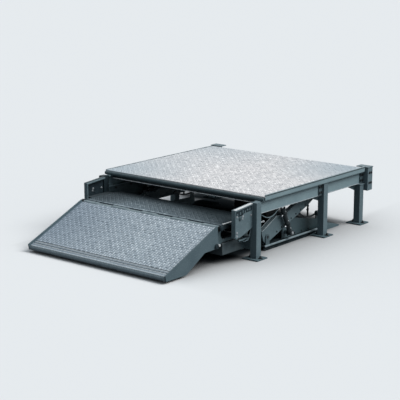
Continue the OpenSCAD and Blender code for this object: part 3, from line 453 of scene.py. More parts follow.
for side in SIDES:
    for station in LEG_STATIONS:
        middle = station + LEG_HALF
        for hole in (-ANCHOR_SPREAD, ANCHOR_SPREAD):
            nut(anchors, at(side * LEG_X + hole, middle, foot_top), (0, 0, 1), ANCHOR_SIZE, ANCHOR_STUD)
        corners = [
            at(side * LEG_X + x * LEG_HALF, middle + y * LEG_HALF, foot_top + WELD_LIFT)
            for x, y in (*AROUND, AROUND[0])
        ]
        bead(leg_welds, corners, LEG_WELD)
piece(anchors, "floor_anchors", "frame", black_steel)
piece(leg_welds, "leg_welds", "frame", deep_slate, angle=60)


# Leg knobs and studs
# Turned black knobs are screwed into the rear faces of the middle legs, and zinc-plated studs with
# a collar and a nut into those of the front legs.
KNOB_HEIGHTS = (120, 340)
KNOB = [(7, -1), (7, 8), (15, 9), (19, 13), (19, 23), (15, 28), (6, 29)]
STUD_X = 983
STUD_HEIGHT = 345
STUD = [(13, -1), (13, 4), (7, 5), (7, 66), (5, 69)]
STUD_NUT = [(12, 0), (12, 13), (10, 15)]
STUD_NUT_REACH = 48
zinc = surface(
    "zinc_plate", (0.30, 0.33, 0.35), (0.46, 0.49, 0.52), size=0.02,
    rough=(0.28, 0.46), metal=0.55, grain=0.06, grain_size=0.002,
)
front_leg_back = LEG_STATIONS[0] + 2 * LEG_HALF
middle_leg_back = LEG_STATIONS[1] + 2 * LEG_HALF
leg_knobs = bmesh.new()
leg_studs = bmesh.new()
for side in SIDES:
    for height in KNOB_HEIGHTS:
        lathe(leg_knobs, at(side * LEG_X, middle_leg_back, height), (0, 1, 0), KNOB, sides=20)
    stud_x = side * STUD_X
    lathe(leg_studs, at(stud_x, front_leg_back, STUD_HEIGHT), (0, 1, 0), STUD, sides=16)
    lathe(leg_studs, at(stud_x, front_leg_back + STUD_NUT_REACH, STUD_HEIGHT), (0, 1, 0), STUD_NUT, sides=6)
piece(leg_knobs, "leg_knobs", "frame", black_steel)
piece(leg_studs, "leg_studs", "frame", zinc)


# Side beams
# Rolled and painted channels between the legs, their flat backs outwards. Their coat is lighter than
# the legs' slate, as painted light against the shade of the deck's overhang, and their lower edge is
# light as wear and as a painted highlight. Welded gussets brace them in a darker coat that is painted
# shade, bolted cleats join them to the middle legs and the rear posts, and rubber rest pads lie on
# them for the lowered deck.
BEAM_EDGE = 5
BEAM_EDGE_INSET = 2
BEAM_END_GAP = 5
CLEAT_MID = 31
CLEAT_BOLT_ALONG = 15
CLEAT_BOLT_UP = 28
CLEAT_BOLT_SIZE = 15
# A lighter copy of the slate coat: painted light against the shade under the deck's overhang. It is used on
# the beams, the deck's edges and the right curb.
lit_beam_paint = paint(
    "lit_beam_paint", (0.178, 0.256, 0.288), (0.214, 0.300, 0.330), dust=0.10, fleck=0.2,
)
# Light edge colour: partly wear, partly a painted highlight along lit edges.
worn_and_highlit_edge = surface(
    "worn_and_highlit_paint_edge", (0.24, 0.30, 0.33), (0.40, 0.45, 0.48), size=0.03,
    rough=(0.35, 0.5), metal=0.2, grain=0.08,
)
rubber = surface(
    "moulded_rubber", (0.030, 0.032, 0.033), (0.062, 0.062, 0.060), size=0.06,
    rough=(0.6, 0.85), grain=0.25, dust=0.10,
)
dress(lit_beam_paint, "side_beams_left", "side_beams_right")
# The gussets take the darker coat as painted shade.
dress(deep_slate, "beam_gussets", "beam_cleats")
dress(rubber, "rest_pads")
beam_low, beam_high = span("side_beams_right")
beam_mid = (beam_low.z + beam_high.z) / 2
cleat_face = span("beam_cleats")[1].x
beam_stretches = (
    (beam_low.y + BEAM_EDGE_INSET, LEG_STATIONS[1] - BEAM_EDGE_INSET),
    (middle_leg_back + BEAM_EDGE_INSET, beam_high.y - BEAM_END_GAP),
)
beam_edges = bmesh.new()
cleat_bolts = bmesh.new()
for side in SIDES:
    edge_x = side * (beam_high.x - BEAM_EDGE_INSET)
    edge_z = beam_low.z + BEAM_EDGE_INSET
    for start, end in beam_stretches:
        bead(beam_edges, [at(edge_x, start, edge_z), at(edge_x, end, edge_z)], BEAM_EDGE, pitch=120, sides=8)
    for station in (LEG_STATIONS[1], beam_high.y):
        for x, y in AROUND:
            spot = at(
                side * cleat_face,
                station - CLEAT_MID + x * CLEAT_BOLT_ALONG,
                beam_mid + y * CLEAT_BOLT_UP,
            )
            nut(cleat_bolts, spot, (side, 0, 0), CLEAT_BOLT_SIZE)
piece(beam_edges, "beam_edges", "frame", worn_and_highlit_edge)
piece(cleat_bolts, "cleat_bolts", "frame", black_steel)


# Rear frame and hinge
# Painted box posts with a cap plate stand behind the deck, joined by a cross channel. Ears welded to
# the deck turn on zinc-plated pins, which are held in lugs welded to the channel.
POST_FACE_X = 1035
POST_BOLT_STATIONS = (1800, 1836)
POST_BOLT_HEIGHTS = (424, 530)
POST_BOLT_SIZE = 15
dress(slate, "rear_posts", "rear_beam")
dress(deep_slate, "hinge_lugs", "hinge_ears")
dress(zinc, "hinge_pins")
post_bolts = bmesh.new()
for side in SIDES:
    for station in POST_BOLT_STATIONS:
        for height in POST_BOLT_HEIGHTS:
            nut(post_bolts, at(side * POST_FACE_X, station, height), (side, 0, 0), POST_BOLT_SIZE)
piece(post_bolts, "post_bolts", "frame", black_steel)


# Deck
# One sheet of rolled tread plate, left as galvanized, welded on pressed stringers with side angles.
# Its colour darkens towards three corners, leaving a painted reflection on its middle. The
# lens-shaped lugs of the tread are rolled in and unevenly worn; their lighter colour and bright flecks
# are wear and painted glints.
deck_low, deck_high = span("deck_plate")
DECK_LUG_PITCH = 36
DECK_LUG = (42, 11, 4.5)
DECK_LUG_TURN = 45
# Corners towards which the deck's painted reflection fades, for the plate and its lugs.
SHEEN_FADE_CORNERS = (
    (at(-1000, 60, deck_high.z), 1.05, 0.10),
    (at(1010, 1750, deck_high.z), 1.00, 0.20),
    (at(-1000, 1750, deck_high.z), 1.30, -0.60),
)
PLATE_BEYOND_SHEEN = (0.36, 0.42, 0.465)
LUGS_BEYOND_SHEEN = (0.47, 0.53, 0.575)
LUG_OUTLINE = [(0.5, 0), (0.2, 0.5), (-0.2, 0.5), (-0.5, 0), (-0.2, -0.5), (0.2, -0.5)]
LUG_TOP = 0.68
LUG_SINK = 0.2
LUG_LEAST = 0.12
WEAR_ACROSS, WEAR_ALONG = 12.9898, 78.233
WEAR_SWING, WEAR_CROSS = 3.1, 5.7
EAST, NORTH = Vector((1, 0, 0)), Vector((0, 1, 0))


def tread(name, corner, across, along, size, pitch, lug, turn, body, material):
    """Field of lens-shaped lugs in two crossing directions, turned in degrees, on a flat plate."""
    length, width, height = lug
    normal = across.cross(along)
    count = len(LUG_OUTLINE)
    points, faces = [], []
    columns, rows = int(size[0] // pitch), int(size[1] // pitch)
    inset = ((size[0] - (columns - 1) * pitch) / 2, (size[1] - (rows - 1) * pitch) / 2)
    for i in range(columns):
        for j in range(rows):
            heading = math.radians(turn + 90 * ((i + j) % 2))
            middle = corner + (across * (inset[0] + i * pitch) + along * (inset[1] + j * pitch)) / 1000
            ahead = (across * math.cos(heading) + along * math.sin(heading)) * length / 1000
            beside = (along * math.cos(heading) - across * math.sin(heading)) * width / 1000
            swing = WEAR_SWING * math.sin(WEAR_CROSS * i * j)
            wear = 0.5 + 0.5 * math.sin(WEAR_ACROSS * i + WEAR_ALONG * j + swing)
            worn_height = height * (LUG_LEAST + (1 - LUG_LEAST) * wear)
            first = len(points)
            for scale, lift in ((1.0, -LUG_SINK), (LUG_TOP, worn_height)):
                level = middle + normal * (lift / 1000)
                points += [level + ahead * (scale * u) + beside * (scale * v) for u, v in LUG_OUTLINE]
            for k in range(count):
                n = (k + 1) % count
                faces.append((first + k, first + n, first + count + n, first + count + k))
            faces.append(tuple(first + count + k for k in range(count)))
    data = bpy.data.meshes.new(name)
    data.from_pydata(points, [], faces)
    hold(data, name, body, material)


# Bright flecks on the plate and its lugs, and the lugs' lighter colour, are painted glints as well as wear.
galvanized = surface(
    "galvanized_tread", (0.40, 0.41, 0.43), (0.68, 0.67, 0.68), size=0.05,
    rough=(0.42, 0.6), metal=0.1, grain=0.10, fleck=0.5, fleck_size=0.030,
    patches=[(*corner, PLATE_BEYOND_SHEEN) for corner in SHEEN_FADE_CORNERS], shine=0.05,
)
bright_lugs = surface(
    "galvanized_lugs", (0.57, 0.575, 0.59), (0.88, 0.87, 0.875), size=0.04,
    rough=(0.36, 0.5), metal=0.1, grain=0.10, fleck=1.0, fleck_size=0.040,
    patches=[(*corner, LUGS_BEYOND_SHEEN) for corner in SHEEN_FADE_CORNERS], shine=0.05,
)
dress(galvanized, "deck_plate")
dress(lit_beam_paint, "deck_edges")
dress(deep_slate, "deck_stringers", "ram_lugs")
dress(zinc, "ram_top_pins")
deck_size = (deck_high.x - deck_low.x, deck_high.y - deck_low.y)
tread("deck_lugs", at(deck_low.x, deck_low.y, deck_high.z), EAST, NORTH, deck_size,
      DECK_LUG_PITCH, DECK_LUG, DECK_LUG_TURN, "deck", bright_lugs)


# Deck header
# A folded plate, painted nearly black, closes the deck's front below a rolled edge. A zinc-plated
# strip runs along its foot, with a row of small screws.
SCREW_COUNT = 25
SCREW_PITCH = 72
SCREW = [(4.5, -2), (4.5, 2), (2.5, 3.5)]
SCREW_UP = 3
HEADER_STRIP_HALF = 912
HEADER_STRIP_UP = 2
HEADER_STRIP_PROUD = 2
HEADER_STRIP_RADIUS = 5
ROLL_INSET = 4
ROLL_HEIGHT = 557
ROLL_PROUD = 1
ROLL_RADIUS = 19
header_paint = paint(
    "header_paint", (0.016, 0.027, 0.032), (0.026, 0.040, 0.047),
    size=0.12, rough=(0.36, 0.55), dust=0.1, fleck=0.2,
)
dress(header_paint, "deck_headers")
header_foot = span("deck_headers")[0].z
header_screws = bmesh.new()
for k in range(SCREW_COUNT):
    screw_x = (k - (SCREW_COUNT - 1) / 2) * SCREW_PITCH
    lathe(header_screws, at(screw_x, 0, header_foot + SCREW_UP), (0, -1, 0), SCREW, sides=10)
piece(header_screws, "header_screws", "deck", zinc)
header_strip = bmesh.new()
strip_height = header_foot + HEADER_STRIP_UP
strip_ends = [at(side * HEADER_STRIP_HALF, -HEADER_STRIP_PROUD, strip_height) for side in SIDES]
bead(header_strip, strip_ends, HEADER_STRIP_RADIUS, pitch=40, sides=8)
piece(header_strip, "header_strip", "deck", zinc)
header_roll = bmesh.new()
roll_ends = [at(side * (deck_high.x - ROLL_INSET), -ROLL_PROUD, ROLL_HEIGHT) for side in SIDES]
bead(header_roll, roll_ends, ROLL_RADIUS, pitch=0, sides=20)
piece(header_roll, "header_roll", "deck", deep_slate)


# Deck curbs
# Flat bars on edge along the deck's sides, welded on by short tabs, with a top edge light as wear and
# as a painted highlight, and a black bead below it as a painted shadow line. The right one stands up
# higher than the left one.
CURB_X = 1008
CURB_HALF = 4
CURB_FOOT = 552
CURB_END_GAP = 6
CURB_CHAMFER = 1.5
CURB_TAB_X = 1003
CURB_TAB_HALF = 6
CURB_TAB_START, CURB_TAB_LENGTH, CURB_TAB_PITCH, CURB_TAB_COUNT = 140, 60, 290, 6
CURB_TAB_FOOT, CURB_TAB_TOP = 584, 594
CURB_TAB_CHAMFER = 1
CURB_EDGE_X, CURB_EDGE_DOWN, CURB_EDGE_GAP = 1009, 1, 10
CURB_SHADOW_X, CURB_SHADOW_DOWN, CURB_SHADOW_GAP = 1012, 10, 8
CURB_ROUND = 3.5


def slab(mesh, low, high, edge):
    """Bar between two opposite corners, its edges broken by a small chamfer."""
    corners = bmesh.ops.create_cube(mesh, size=1)["verts"]
    for corner in corners:
        corner.co = Vector([(a + b) / 2 + c * (b - a) for a, b, c in zip(low, high, corner.co)])
    edges = {link for corner in corners for link in corner.link_edges}
    bmesh.ops.bevel(mesh, geom=list(edges), offset=edge / 1000, segments=1, affect="EDGES")


curb_edges = bmesh.new()
# Black beads drawn as painted shadow lines under the curbs' top edges.
curb_shadow_lines = bmesh.new()
curb_kinds = ((-1, 588, "deck_curb_left", header_paint), (1, 602, "deck_curb_right", lit_beam_paint))
for side, top, name, coat in curb_kinds:
    curb = bmesh.new()
    curb_x, tab_x = side * CURB_X, side * CURB_TAB_X
    curb_start, curb_end = deck_low.y + CURB_END_GAP, deck_high.y - CURB_END_GAP
    low = at(curb_x - CURB_HALF, curb_start, CURB_FOOT)
    high = at(curb_x + CURB_HALF, curb_end, top)
    slab(curb, low, high, CURB_CHAMFER)
    for k in range(CURB_TAB_COUNT):
        tab_start = CURB_TAB_START + CURB_TAB_PITCH * k
        low = at(tab_x - CURB_TAB_HALF, tab_start, CURB_TAB_FOOT)
        high = at(tab_x + CURB_TAB_HALF, tab_start + CURB_TAB_LENGTH, min(CURB_TAB_TOP, top))
        slab(curb, low, high, CURB_TAB_CHAMFER)
    piece(curb, name, "deck", coat)
    edge_ends = [
        at(side * CURB_EDGE_X, station, top - CURB_EDGE_DOWN)
        for station in (deck_low.y + CURB_EDGE_GAP, deck_high.y - CURB_EDGE_GAP)
    ]
    bead(curb_edges, edge_ends, CURB_ROUND, pitch=60, sides=8)
    shadow_line_ends = [
        at(side * CURB_SHADOW_X, station, top - CURB_SHADOW_DOWN)
        for station in (deck_low.y + CURB_SHADOW_GAP, deck_high.y - CURB_SHADOW_GAP)
    ]
    bead(curb_shadow_lines, shadow_line_ends, CURB_ROUND, pitch=0, sides=8)
piece(curb_edges, "curb_edges", "deck", worn_and_highlit_edge)
piece(curb_shadow_lines, "curb_shadow_lines", "deck", black_steel)


# Front brackets
# Bent and slotted plates ahead of the front legs, painted like the legs. Each has a pressed boss and
# zinc-plated bolts on its web, three of them with a nut on the inner face too.
BOSS_STATION, BOSS_HEIGHT = -302, 428
BOSS = [(21, -1), (21, 5), (18, 8), (9, 8), (8, 12)]
THROUGH_BOLTS = ((-262, 441), (-270, 420), (-140, 432))
FLANGE_BOLTS = ((-352, 452), (-352, 300), (-352, 268))
BRACKET_BOLT_SIZE = 12
LINER_INNER_X = 941
dress(slate, "front_bracket_left", "front_bracket_right")
bracket_face = span("front_bracket_right")[1].x
bracket_bolts = bmesh.new()
bracket_bosses = bmesh.new()
for side in SIDES:
    outer_x, inner_x = side * bracket_face, side * LINER_INNER_X
    lathe(bracket_bosses, at(outer_x, BOSS_STATION, BOSS_HEIGHT), (side, 0, 0), BOSS, sides=28)
    for station, height in THROUGH_BOLTS + FLANGE_BOLTS:
        nut(bracket_bolts, at(outer_x, station, height), (side, 0, 0), BRACKET_BOLT_SIZE)
    for station, height in THROUGH_BOLTS:
        nut(bracket_bolts, at(inner_x, station, height), (-side, 0, 0), BRACKET_BOLT_SIZE)
piece(bracket_bosses, "bracket_bosses", "frame", deep_slate)
piece(bracket_bolts, "bracket_bolts", "frame", zinc)


# Bracket strips and liners
# A bright strip lies along each bracket's sloping top, light as wear and as a painted highlight, with a
# patch of painted shade on the left one. A black rubber liner riveted to the inner face and a black
# strip with small painted tabs in the recess of the outer face are dark sheets standing in for the
# shade there: painted shade.
WEAR_STRIP_OUTLINE = [(-371, 511), (-112, 533), (-112, 538), (-371, 516)]
WEAR_STRIP_INNER_X, WEAR_STRIP_OUTER_X = 928, 956
LINER_OUTLINE = [(-358, 262), (-296, 262), (-114, 306), (-114, 520), (-358, 499)]
LINER_OUTER_X = 944.6
RIVETS = ((-330, 300), (-330, 470), (-150, 340), (-150, 490), (-240, 400))
RIVET = [(9, 0), (9, 3), (5, 5)]
RIVET_X = 941.5
RECESS_OUTLINE = [
    (-364, 452), (-330, 455), (-322, 447), (-262, 452),
    (-254, 466), (-128, 476), (-120, 522), (-364, 500),
]
RECESS_INNER_X, RECESS_OUTER_X = 954.5, 957
TAB_NUTS = ((-348, 468), (-196, 490))
TAB_NUT_X = 956.5
TAB_NUT_SIZE = 11
TABS = ((-300, 478), (-262, 488), (-228, 480), (-160, 494))
TAB_PLATE_X, TAB_PLATE_HALF = 957.5, 1.5
TAB_PLATE_HALF_LENGTH, TAB_PLATE_DOWN, TAB_PLATE_UP = 6, 14, 10
TAB_PLATE_CHAMFER = 1


def sheet(mesh, outline, near, far):
    """Flat sheet cut to an outline of (along, up) corners, between two planes across."""
    loft(mesh, [[mesh.verts.new(at(depth, *corner)) for corner in outline] for depth in (near, far)])


# Light strip colour: wear and a painted highlight; the patch at the left bracket is painted shade.
wear_and_highlight = surface(
    "bright_wear_strip", (0.58, 0.61, 0.63), (0.76, 0.79, 0.81), size=0.03,
    rough=(0.35, 0.5), metal=0.1, grain=0.08, grain_size=0.002,
    patches=[(at(-890, -300, 450), 0.50, 0.30, (0.050, 0.072, 0.084))],
)
# Near-black rubber: the real colour of knobs and caps, and painted shade on the bracket liners and recess
# strips.
dark_rubber_and_shade = surface(
    "dark_rubber_and_shade", (0.010, 0.018, 0.024), (0.020, 0.033, 0.041), size=0.05,
    rough=(0.55, 0.75), grain=0.2,
)
wear_strips = bmesh.new()
liners = bmesh.new()
recesses = bmesh.new()
tabs = bmesh.new()
for side in SIDES:
    sheet(wear_strips, WEAR_STRIP_OUTLINE, side * WEAR_STRIP_INNER_X, side * WEAR_STRIP_OUTER_X)
    sheet(liners, LINER_OUTLINE, side * LINER_OUTER_X, side * LINER_INNER_X)
    for station, height in RIVETS:
        lathe(liners, at(side * RIVET_X, station, height), (-side, 0, 0), RIVET, sides=14)
    sheet(recesses, RECESS_OUTLINE, side * RECESS_INNER_X, side * RECESS_OUTER_X)
    for station, height in TAB_NUTS:
        nut(tabs, at(side * TAB_NUT_X, station, height), (side, 0, 0), TAB_NUT_SIZE)
    tab_x = side * TAB_PLATE_X
    for station, height in TABS:
        low = at(tab_x - TAB_PLATE_HALF, station - TAB_PLATE_HALF_LENGTH, height - TAB_PLATE_DOWN)
        high = at(tab_x + TAB_PLATE_HALF, station + TAB_PLATE_HALF_LENGTH, height + TAB_PLATE_UP)
        slab(tabs, low, high, TAB_PLATE_CHAMFER)
piece(wear_strips, "bracket_wear_strips", "frame", wear_and_highlight)
# The liners and recess strips are dark sheets standing in for shade: painted shade.
piece(liners, "bracket_liners", "frame", dark_rubber_and_shade)
piece(recesses, "bracket_recesses", "frame", dark_rubber_and_shade)
piece(tabs, "bracket_tabs", "frame", slate)


# Bracket ties
# A stepped steel tie ends at the front cross member behind each bracket, and a bent rod hooks it up
# to the bracket's rear edge. A turned cap sits at the bracket's lower front corner. All are painted.
TIE_X, TIE_STATION, TIE_HEIGHT = 905, -262, 200
TIE = [(9, 0), (9, 40), (7, 42), (7, 96), (10, 98), (10, 158)]
CAP_X, CAP_STATION, CAP_HEIGHT = 952, -366, 255
CAP = [(16, 0), (16, 4), (11, 5), (11, 14), (8, 16)]
HOOK = (
    (941, -116, 318), (941, -120, 285), (941, -136, 250), (941, -148, 216),
    (941, -166, 196), (938, -206, 191), (926, -218, 193), (906, -222, 198),
)
HOOK_RADIUS = 4
bracket_ties = bmesh.new()
for side in SIDES:
    lathe(bracket_ties, at(side * TIE_X, TIE_STATION, TIE_HEIGHT), (0, 1, 0), TIE, sides=16)
    lathe(bracket_ties, at(side * CAP_X, CAP_STATION, CAP_HEIGHT), (side, 0, 0), CAP, sides=16)
    bead(bracket_ties, [at(side * x, y, z) for x, y, z in HOOK], HOOK_RADIUS, pitch=12, sides=8)
piece(bracket_ties, "bracket_ties", "frame", slate)


# Front cross member and bumpers
# A painted box tube ties the front legs together. It carries two solid rubber bumpers on steel
# boxes that are welded to its front.
bumper_rubber = surface(
    "bumper_rubber", (0.056, 0.078, 0.088), (0.086, 0.112, 0.124), size=0.07,
    rough=(0.5, 0.75), grain=0.25, grain_size=0.004, dust=0.25,
)
dress(deep_slate, "front_cross_tube", "bumper_boxes")
dress(bumper_rubber, "bumpers")


# Landing plate
# A fixed tread plate ahead of the deck, folded down at its sides and painted, on upright ribs with
# cut windows. Painted shade darkens it towards the deck and at its left end, and a bright strip is
# fixed along each side of its front part.
landing_top = span("landing_plate")[1].z
LANDING_HALF = 850
LANDING_LUG_START, LANDING_LUG_LENGTH = -410, 400
LANDING_LUG_PITCH = 28
LANDING_LUG = (30, 12, 4)
LANDING_LUG_TURN = 20
REAR_SHADE = (at(-1500, -6000, landing_top), 5.73, 6.17)
LEFT_SHADE = (at(-800, -200, landing_top), 0.44, 0.12)
EDGE_STRIP_X, EDGE_STRIP_HALF = 840, 9
EDGE_STRIP_START, EDGE_STRIP_END = -416, -250
EDGE_STRIP_SINK, EDGE_STRIP_PROUD = 2, 5
EDGE_STRIP_CHAMFER = 1.5
landing_paint = surface(
    "landing_paint", (0.064, 0.090, 0.108), (0.098, 0.130, 0.152), size=0.10,
    rough=(0.36, 0.55), grain=0.12, dust=0.05, fleck=0.3, fleck_size=0.03,
    patches=[(*REAR_SHADE, (0.022, 0.032, 0.038)), (*LEFT_SHADE, (0.034, 0.046, 0.054))], shine=0.0,
)
landing_worn = surface(
    "landing_lug_steel", (0.12, 0.155, 0.18), (0.29, 0.345, 0.385), size=0.04,
    rough=(0.32, 0.5), grain=0.10, grain_size=0.002, fleck=0.3, fleck_size=0.03,
    patches=[(*REAR_SHADE, (0.034, 0.048, 0.056)), (*LEFT_SHADE, (0.080, 0.100, 0.114))], shine=0.0,
)
dress(landing_paint, "landing_plate")
dress(deep_slate, "landing_ribs")
edge_strips = bmesh.new()
for side in SIDES:
    strip_x = side * EDGE_STRIP_X
    low = at(strip_x - EDGE_STRIP_HALF, EDGE_STRIP_START, landing_top - EDGE_STRIP_SINK)
    high = at(strip_x + EDGE_STRIP_HALF, EDGE_STRIP_END, landing_top + EDGE_STRIP_PROUD)
    slab(edge_strips, low, high, EDGE_STRIP_CHAMFER)
piece(edge_strips, "landing_edge_strips", "frame", wear_and_highlight)
tread("landing_lugs", at(-LANDING_HALF, LANDING_LUG_START, landing_top), EAST, NORTH,
      (2 * LANDING_HALF, LANDING_LUG_LENGTH), LANDING_LUG_PITCH, LANDING_LUG, LANDING_LUG_TURN,
      "frame", landing_worn)


# Lip hinge
# Knuckles welded in turn to the landing plate and to the lip share one long zinc-plated pin with a
# black head and knob at each end. A riveted cover strip lies over the landing plate's edge, and a
# rod, bright as a painted highlight, stops each of the lip's cheeks at its heel.
COVER_HALF = 848
COVER_START, COVER_END = -456, -420
COVER_SINK, COVER_PROUD = 2, 2.5
COVER_CHAMFER = 1.5
COVER_RIVETS = 18
COVER_RIVET_PITCH = 96
COVER_RIVET_STATION = -438
COVER_RIVET_LIFT = 3
COVER_RIVET = [(7, 0), (7, 2), (4, 4)]
PIN_KNOB_X, PIN_KNOB_STATION, PIN_KNOB_HEIGHT = 870.5, -474, 356
PIN_KNOB = [(14, -10), (14, 0), (20, 0), (25, 2), (26, 8), (21, 15), (9, 19)]
# A lighter coat for the hinge knuckles and, as wear and painted highlight, the rail ridges.
knuckle_paint = surface(
    "knuckle_light_paint", (0.15, 0.20, 0.225), (0.24, 0.30, 0.33), size=0.05,
    rough=(0.35, 0.5), metal=0.1, grain=0.08,
)
dress(knuckle_paint, "landing_knuckles", "lip_knuckles")
dress(black_steel, "lip_pin_heads")
dress(zinc, "lip_hinge_pin")
dress(wear_and_highlight, "lip_stops")
hinge_cover = bmesh.new()
slab(hinge_cover, at(-COVER_HALF, COVER_START, landing_top - COVER_SINK),
     at(COVER_HALF, COVER_END, landing_top + COVER_PROUD), COVER_CHAMFER)
for k in range(COVER_RIVETS):
    rivet_x = (k - (COVER_RIVETS - 1) / 2) * COVER_RIVET_PITCH
    spot = at(rivet_x, COVER_RIVET_STATION, landing_top + COVER_RIVET_LIFT)
    lathe(hinge_cover, spot, (0, 0, 1), COVER_RIVET, sides=12)
piece(hinge_cover, "hinge_cover", "frame", landing_worn)
pin_knobs = bmesh.new()
for side in SIDES:
    spot = at(side * PIN_KNOB_X, PIN_KNOB_STATION, PIN_KNOB_HEIGHT)
    lathe(pin_knobs, spot, (side, 0, 0), PIN_KNOB, sides=24)
piece(pin_knobs, "lip_pin_knobs", "frame", dark_rubber_and_shade)


# Lip
# A painted tread plate ramp that turns on the hinge, with ribs welded below and a wedge-shaped cheek
# plate at each side. Its lugs are worn bright, and a black cap closes each cheek's heel.
LIP_SLOPE = math.radians(23)
LIP_LUG_DOWN, LIP_LUG_LENGTH, LIP_TOP = 716, 690, 24
LIP_LUG_PITCH = 30
LIP_LUG = (38, 10, 4.5)
LIP_LUG_TURN = 0
# The lip's colour darkens towards its front left corner.
LIP_DARKER_CORNER = (at(-900, -800, 230), 1.10, 0.20)
HEEL_X, HEEL_STATION, HEEL_HEIGHT = 869, -538, 200
HEEL_CAP = [(24, 0), (24, 4), (20, 8), (8, 9)]
uphill = Vector((0, math.cos(LIP_SLOPE), math.sin(LIP_SLOPE)))
upright = Vector((0, -math.sin(LIP_SLOPE), math.cos(LIP_SLOPE)))
lip_half = span("lip_plate")[1].x


def joint_value(name, kind):
    """Place or axis of one of the frame's joints."""
    return Vector(next(joint[kind] for joint in frame["joints"] if joint["name"] == name))


def on_lip(x, down, up):
    """Place on the lip in millimetres: across, down the slope from the hinge and up from its line."""
    return joint_value("lip_hinge", "pos_m") + (EAST * x - uphill * down + upright * up) / 1000


lip_paint = surface(
    "lip_paint", (0.215, 0.268, 0.315), (0.315, 0.378, 0.430), size=0.05,
    rough=(0.34, 0.5), metal=0.1, grain=0.12, fleck=0.3, fleck_size=0.018,
    patches=[(*LIP_DARKER_CORNER, (0.20, 0.255, 0.31))],
)
lip_worn = surface(
    "lip_lug_steel", (0.38, 0.44, 0.495), (0.66, 0.725, 0.78), size=0.04,
    rough=(0.34, 0.5), metal=0.1, grain=0.10, grain_size=0.002, fleck=0.4, fleck_size=0.018,
    patches=[(*LIP_DARKER_CORNER, (0.34, 0.40, 0.47))],
)
cheek_paint = paint(
    "cheek_paint", (0.074, 0.112, 0.133), (0.094, 0.138, 0.160), dust=0.05, fleck=0.2,
)
dress(lip_paint, "lip_plate")
dress(cheek_paint, "lip_cheeks")
dress(deep_slate, "lip_ribs")
heel_caps = bmesh.new()
for side in SIDES:
    lathe(heel_caps, at(side * HEEL_X, HEEL_STATION, HEEL_HEIGHT), (side, 0, 0), HEEL_CAP, sides=24)
piece(heel_caps, "heel_caps", "lip", dark_rubber_and_shade)
tread("lip_lugs", on_lip(-lip_half, LIP_LUG_DOWN, LIP_TOP), EAST, uphill, (2 * lip_half, LIP_LUG_LENGTH),
      LIP_LUG_PITCH, LIP_LUG, LIP_LUG_TURN, "lip", lip_worn)


# Lip nose
# A round-nosed steel bar welded along the lip's front edge. Three light ridges run along it, coloured
# as wear and as a painted highlight. Dark beads between them and slanting dark beads for the nose's
# grip notches are painted shade.
NOSE_RIDGE_HALF = 845
NOSE_RIDGES = ((728, 6), (760, 6), (790, 5))
NOSE_RIDGE_UP = 22.5
GROOVED_RIDGES = 2
GROOVE_SHIFT = 11
GROOVE_RADIUS = 5
GRIP_COUNT = 84
GRIP_START, GRIP_PITCH = -832, 20
GRIP_SLANT = 10
GRIP_DOWN, GRIP_END, GRIP_UP = 792, 814, 21.5
GRIP_RADIUS = 3.5
nose_steel = surface(
    "nose_steel", (0.085, 0.118, 0.140), (0.125, 0.165, 0.190), size=0.05,
    rough=(0.35, 0.5), metal=0.2, grain=0.12,
)
nose_worn_and_lit = surface(
    "nose_worn_steel", (0.44, 0.50, 0.55), (0.62, 0.68, 0.72), size=0.03,
    rough=(0.32, 0.48), metal=0.1, grain=0.08, grain_size=0.002,
)
groove_shade = surface(
    "groove_shade", (0.035, 0.050, 0.060), (0.070, 0.092, 0.105), size=0.03,
    rough=(0.5, 0.7), grain=0.1,
)
dress(nose_steel, "lip_nose")
lip_strips = bmesh.new()
lip_grooves = bmesh.new()
for down, radius in NOSE_RIDGES:
    ridge_ends = [on_lip(side * NOSE_RIDGE_HALF, down, NOSE_RIDGE_UP) for side in SIDES]
    bead(lip_strips, ridge_ends, radius, pitch=0, sides=10)
for down, radius in NOSE_RIDGES[:GROOVED_RIDGES]:
    groove_ends = [on_lip(side * NOSE_RIDGE_HALF, down - GROOVE_SHIFT, NOSE_RIDGE_UP) for side in SIDES]
    bead(lip_grooves, groove_ends, GROOVE_RADIUS, pitch=0, sides=8)
for k in range(GRIP_COUNT):
    grip_x = GRIP_START + GRIP_PITCH * k
    grip_ends = [on_lip(grip_x, GRIP_DOWN, GRIP_UP), on_lip(grip_x + GRIP_SLANT, GRIP_END, GRIP_UP)]
    bead(lip_grooves, grip_ends, GRIP_RADIUS, pitch=0, sides=6)
piece(lip_strips, "lip_nose_strips", "lip", nose_worn_and_lit)
piece(lip_grooves, "lip_nose_grips", "lip", groove_shade)


# Floor rails
# Steel rails and cross ties, with grey feet, lie on the floor under the lift gear and carry its base
# plates. Their near-black colour is painted shade for the dark under the deck, and the left feet share
# the painted shade of the legs' feet. Each rail has a rippled ridge along its outer top edge, light as
# wear and as a painted highlight.
RAIL_RIDGE_X, RAIL_RIDGE_HEIGHT, RAIL_RIDGE_RADIUS = 864, 41, 11
RAIL_RIDGE_RIPPLE = 13
RAIL_RIDGE_START_GAP, RAIL_RIDGE_END_GAP = 6, 4
rail_shade_black = surface(
    "rail_black_paint", (0.009, 0.014, 0.017), (0.022, 0.031, 0.036), size=0.10,
    rough=(0.4, 0.6), grain=0.1, grain_size=0.004, shine=0.0,
)
dress(rail_shade_black, "base_rails", "floor_ties")
dress(foot_paint, "rail_feet")
rail_low, rail_high = span("base_rails")
rail_ridges = bmesh.new()
for side in SIDES:
    ridge_ends = [
        at(side * RAIL_RIDGE_X, station, RAIL_RIDGE_HEIGHT)
        for station in (rail_low.y + RAIL_RIDGE_START_GAP, rail_high.y - RAIL_RIDGE_END_GAP)
    ]
    bead(rail_ridges, ridge_ends, RAIL_RIDGE_RADIUS, pitch=RAIL_RIDGE_RIPPLE, sides=10)
piece(rail_ridges, "rail_ridges", "frame", knuckle_paint)


